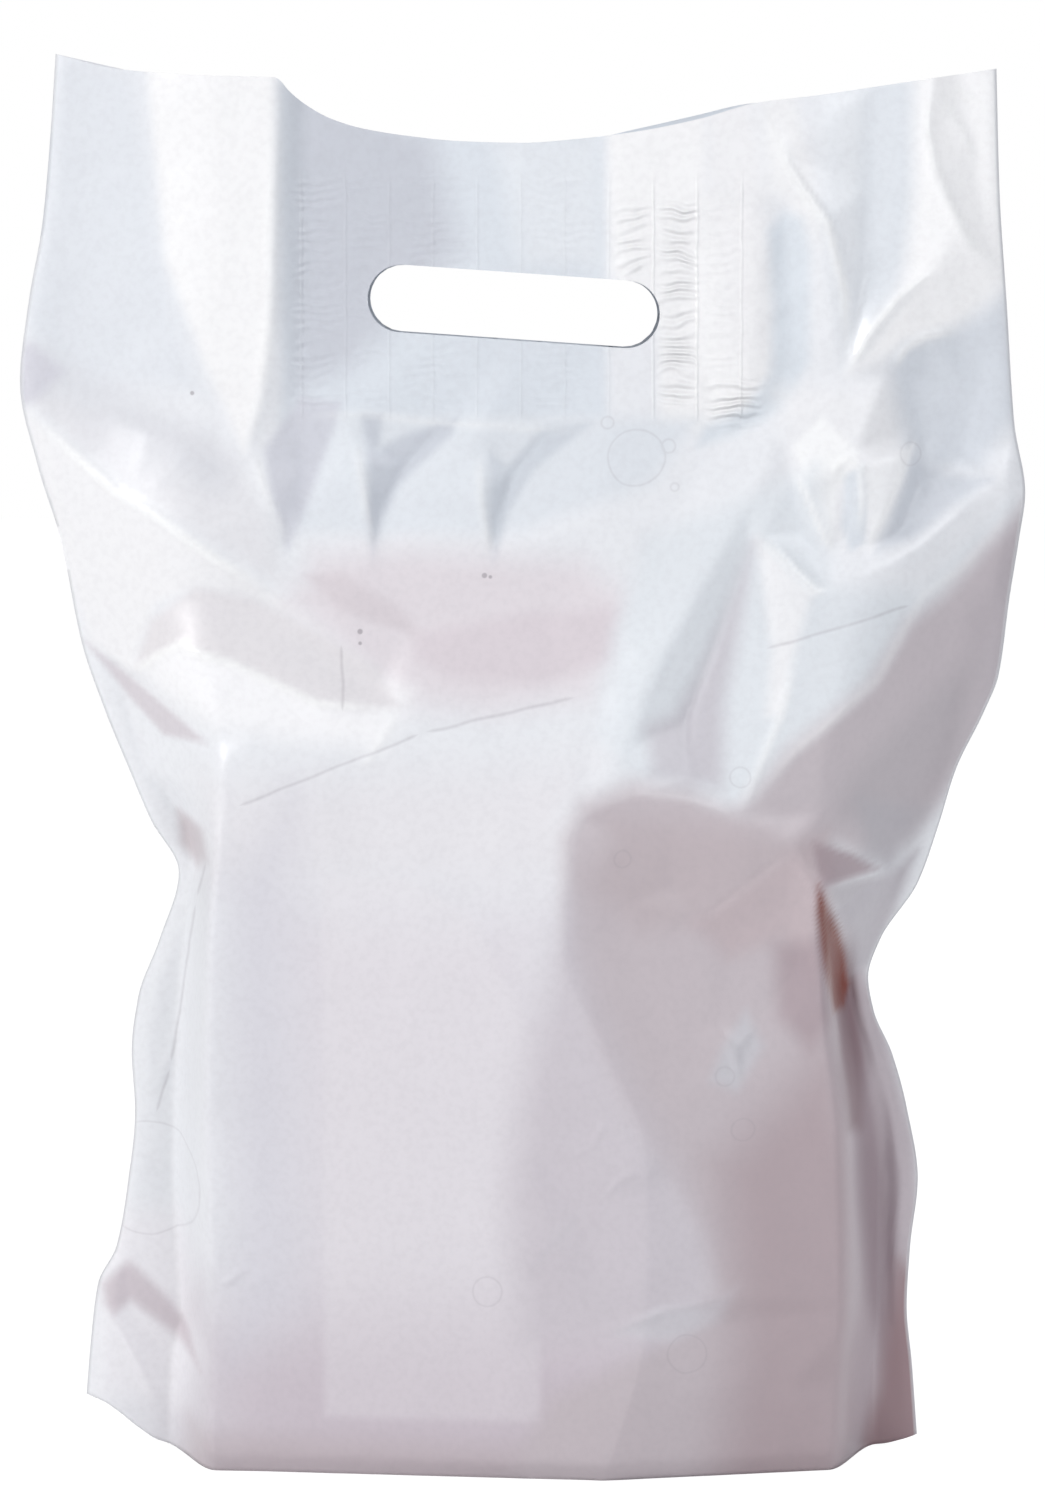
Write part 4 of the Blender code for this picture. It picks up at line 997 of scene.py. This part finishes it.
def handle_patch(name, points, triangles, inward, node):
    middle = points[triangles].mean(axis=1) / MM
    from_x, from_z = middle[:, 0] - patch_middle, middle[:, 2] - slot_middle[1]
    along = from_x * math.cos(handle_tilt) + from_z * math.sin(handle_tilt)
    above = from_z * math.cos(handle_tilt) - from_x * math.sin(handle_tilt)
    kept = triangles[(np.abs(along) < patch_half_width) & (np.abs(above) < patch_half_height)]
    used, renamed = np.unique(kept, return_inverse=True)
    patch = add_mesh(name, [(points[used] + [0.0, inward, 0.0], renamed.reshape(kept.shape))])
    patch.data.materials.append(doubled.owner)
    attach(patch, "root")
    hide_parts(node)


handle_patch("front_doubled_film", front_points, front_triangles, patch_gap, "front_handle_patch")
handle_patch("back_doubled_film", back_points, back_triangles, -patch_gap, "back_handle_patch")


# The floor of a plain pale studio: one sheet of white paper that keeps the bag's shadow.
floor_reach = 6
floor_corners = [(x * floor_reach, y * floor_reach, 0) for x, y in ((-1, -1), (1, -1), (1, 1), (-1, 1))]
floor_mesh = bpy.data.meshes.new("floor")
floor_mesh.from_pydata(floor_corners, [], [(0, 1, 2, 3)])
floor = bpy.data.objects.new("floor", floor_mesh)
bpy.context.scene.collection.objects.link(floor)
white_share, white_strength = 0.86, 1.12
paper = Finish(bpy.data.materials.new("studio_paper"))
seen = paper.add("ShaderNodeLightPath")
glow = paper.add("ShaderNodeEmission", sockets={"Color": (1.0, 1.0, 1.0, 1.0), "Strength": white_strength})
paper.plug(paper.shader, {"Base Color": (0.9, 0.9, 0.9, 1.0), "Roughness": 0.8})
surface = Shade(paper, paper.shader.outputs[0])
white = paper.add("ShaderNodeMixShader", sockets={0: seen * white_share, 1: surface, 2: glow})
paper.plug(paper.tree.nodes["Material Output"], {"Surface": white})
floor_mesh.materials.append(paper.owner)

# The walls around: soft cool light on the bag, plain white to the eye
bpy.context.scene.world = bpy.data.worlds.new("studio")
sky = Finish(bpy.context.scene.world)
dim = sky.tree.nodes["Background"]
sky.plug(dim, {"Color": (0.93, 0.96, 1.0, 1.0), "Strength": 0.38})
bright = sky.add("ShaderNodeBackground", sockets={"Color": (1.0, 1.0, 1.0, 1.0)})
seen = sky.add("ShaderNodeLightPath")
shown = sky.add("ShaderNodeMixShader", sockets={0: seen, 1: Shade(sky, dim.outputs[0]), 2: bright})
sky.plug(sky.tree.nodes["World Output"], {"Surface": shown})


# Three soft square lamps: a window at the upper left, a weak fill from the right and one behind the bag.
def add_lamp(name, place, target, size, power, tone):
    light = bpy.data.lights.new(name, "AREA")
    light.size = size
    light.energy = power
    light.color = tone
    lamp = bpy.data.objects.new(name, light)
    lamp.location = place
    lamp.rotation_euler = (Vector(target) - Vector(place)).to_track_quat("-Z", "Y").to_euler()
    bpy.context.scene.collection.objects.link(lamp)


bag_middle = (0.0, 0.0, 0.25)
add_lamp("window", (-1.5, -1.0, 1.3), bag_middle, 0.7, 21.2, (1.0, 0.99, 0.97))
add_lamp("fill", (0.9, -1.2, 1.15), (0.08, 0.0, 0.34), 0.8, 8.0, (0.97, 0.98, 1.0))
add_lamp("behind", (0.7, 1.8, 1.3), bag_middle, 1.2, 24.0, (0.98, 0.99, 1.0))

# The camera stands in front of the bag, a little above its middle, as in the photograph.
eye_distance = 1.6
eye_rise = math.radians(6.0)
look_at = Vector((0.0, 0.0, 0.2468))
lens = bpy.data.cameras.new("camera")
lens.sensor_width = 36.0
lens.lens = 110.4
camera = bpy.data.objects.new("camera", lens)
camera.location = look_at + Vector((0.0, -math.cos(eye_rise), math.sin(eye_rise))) * eye_distance
camera.rotation_euler = (math.radians(90) - eye_rise, 0.0, 0.0)
bpy.context.scene.collection.objects.link(camera)
bpy.context.scene.camera = camera
bpy.context.scene.view_settings.view_transform = "Standard"
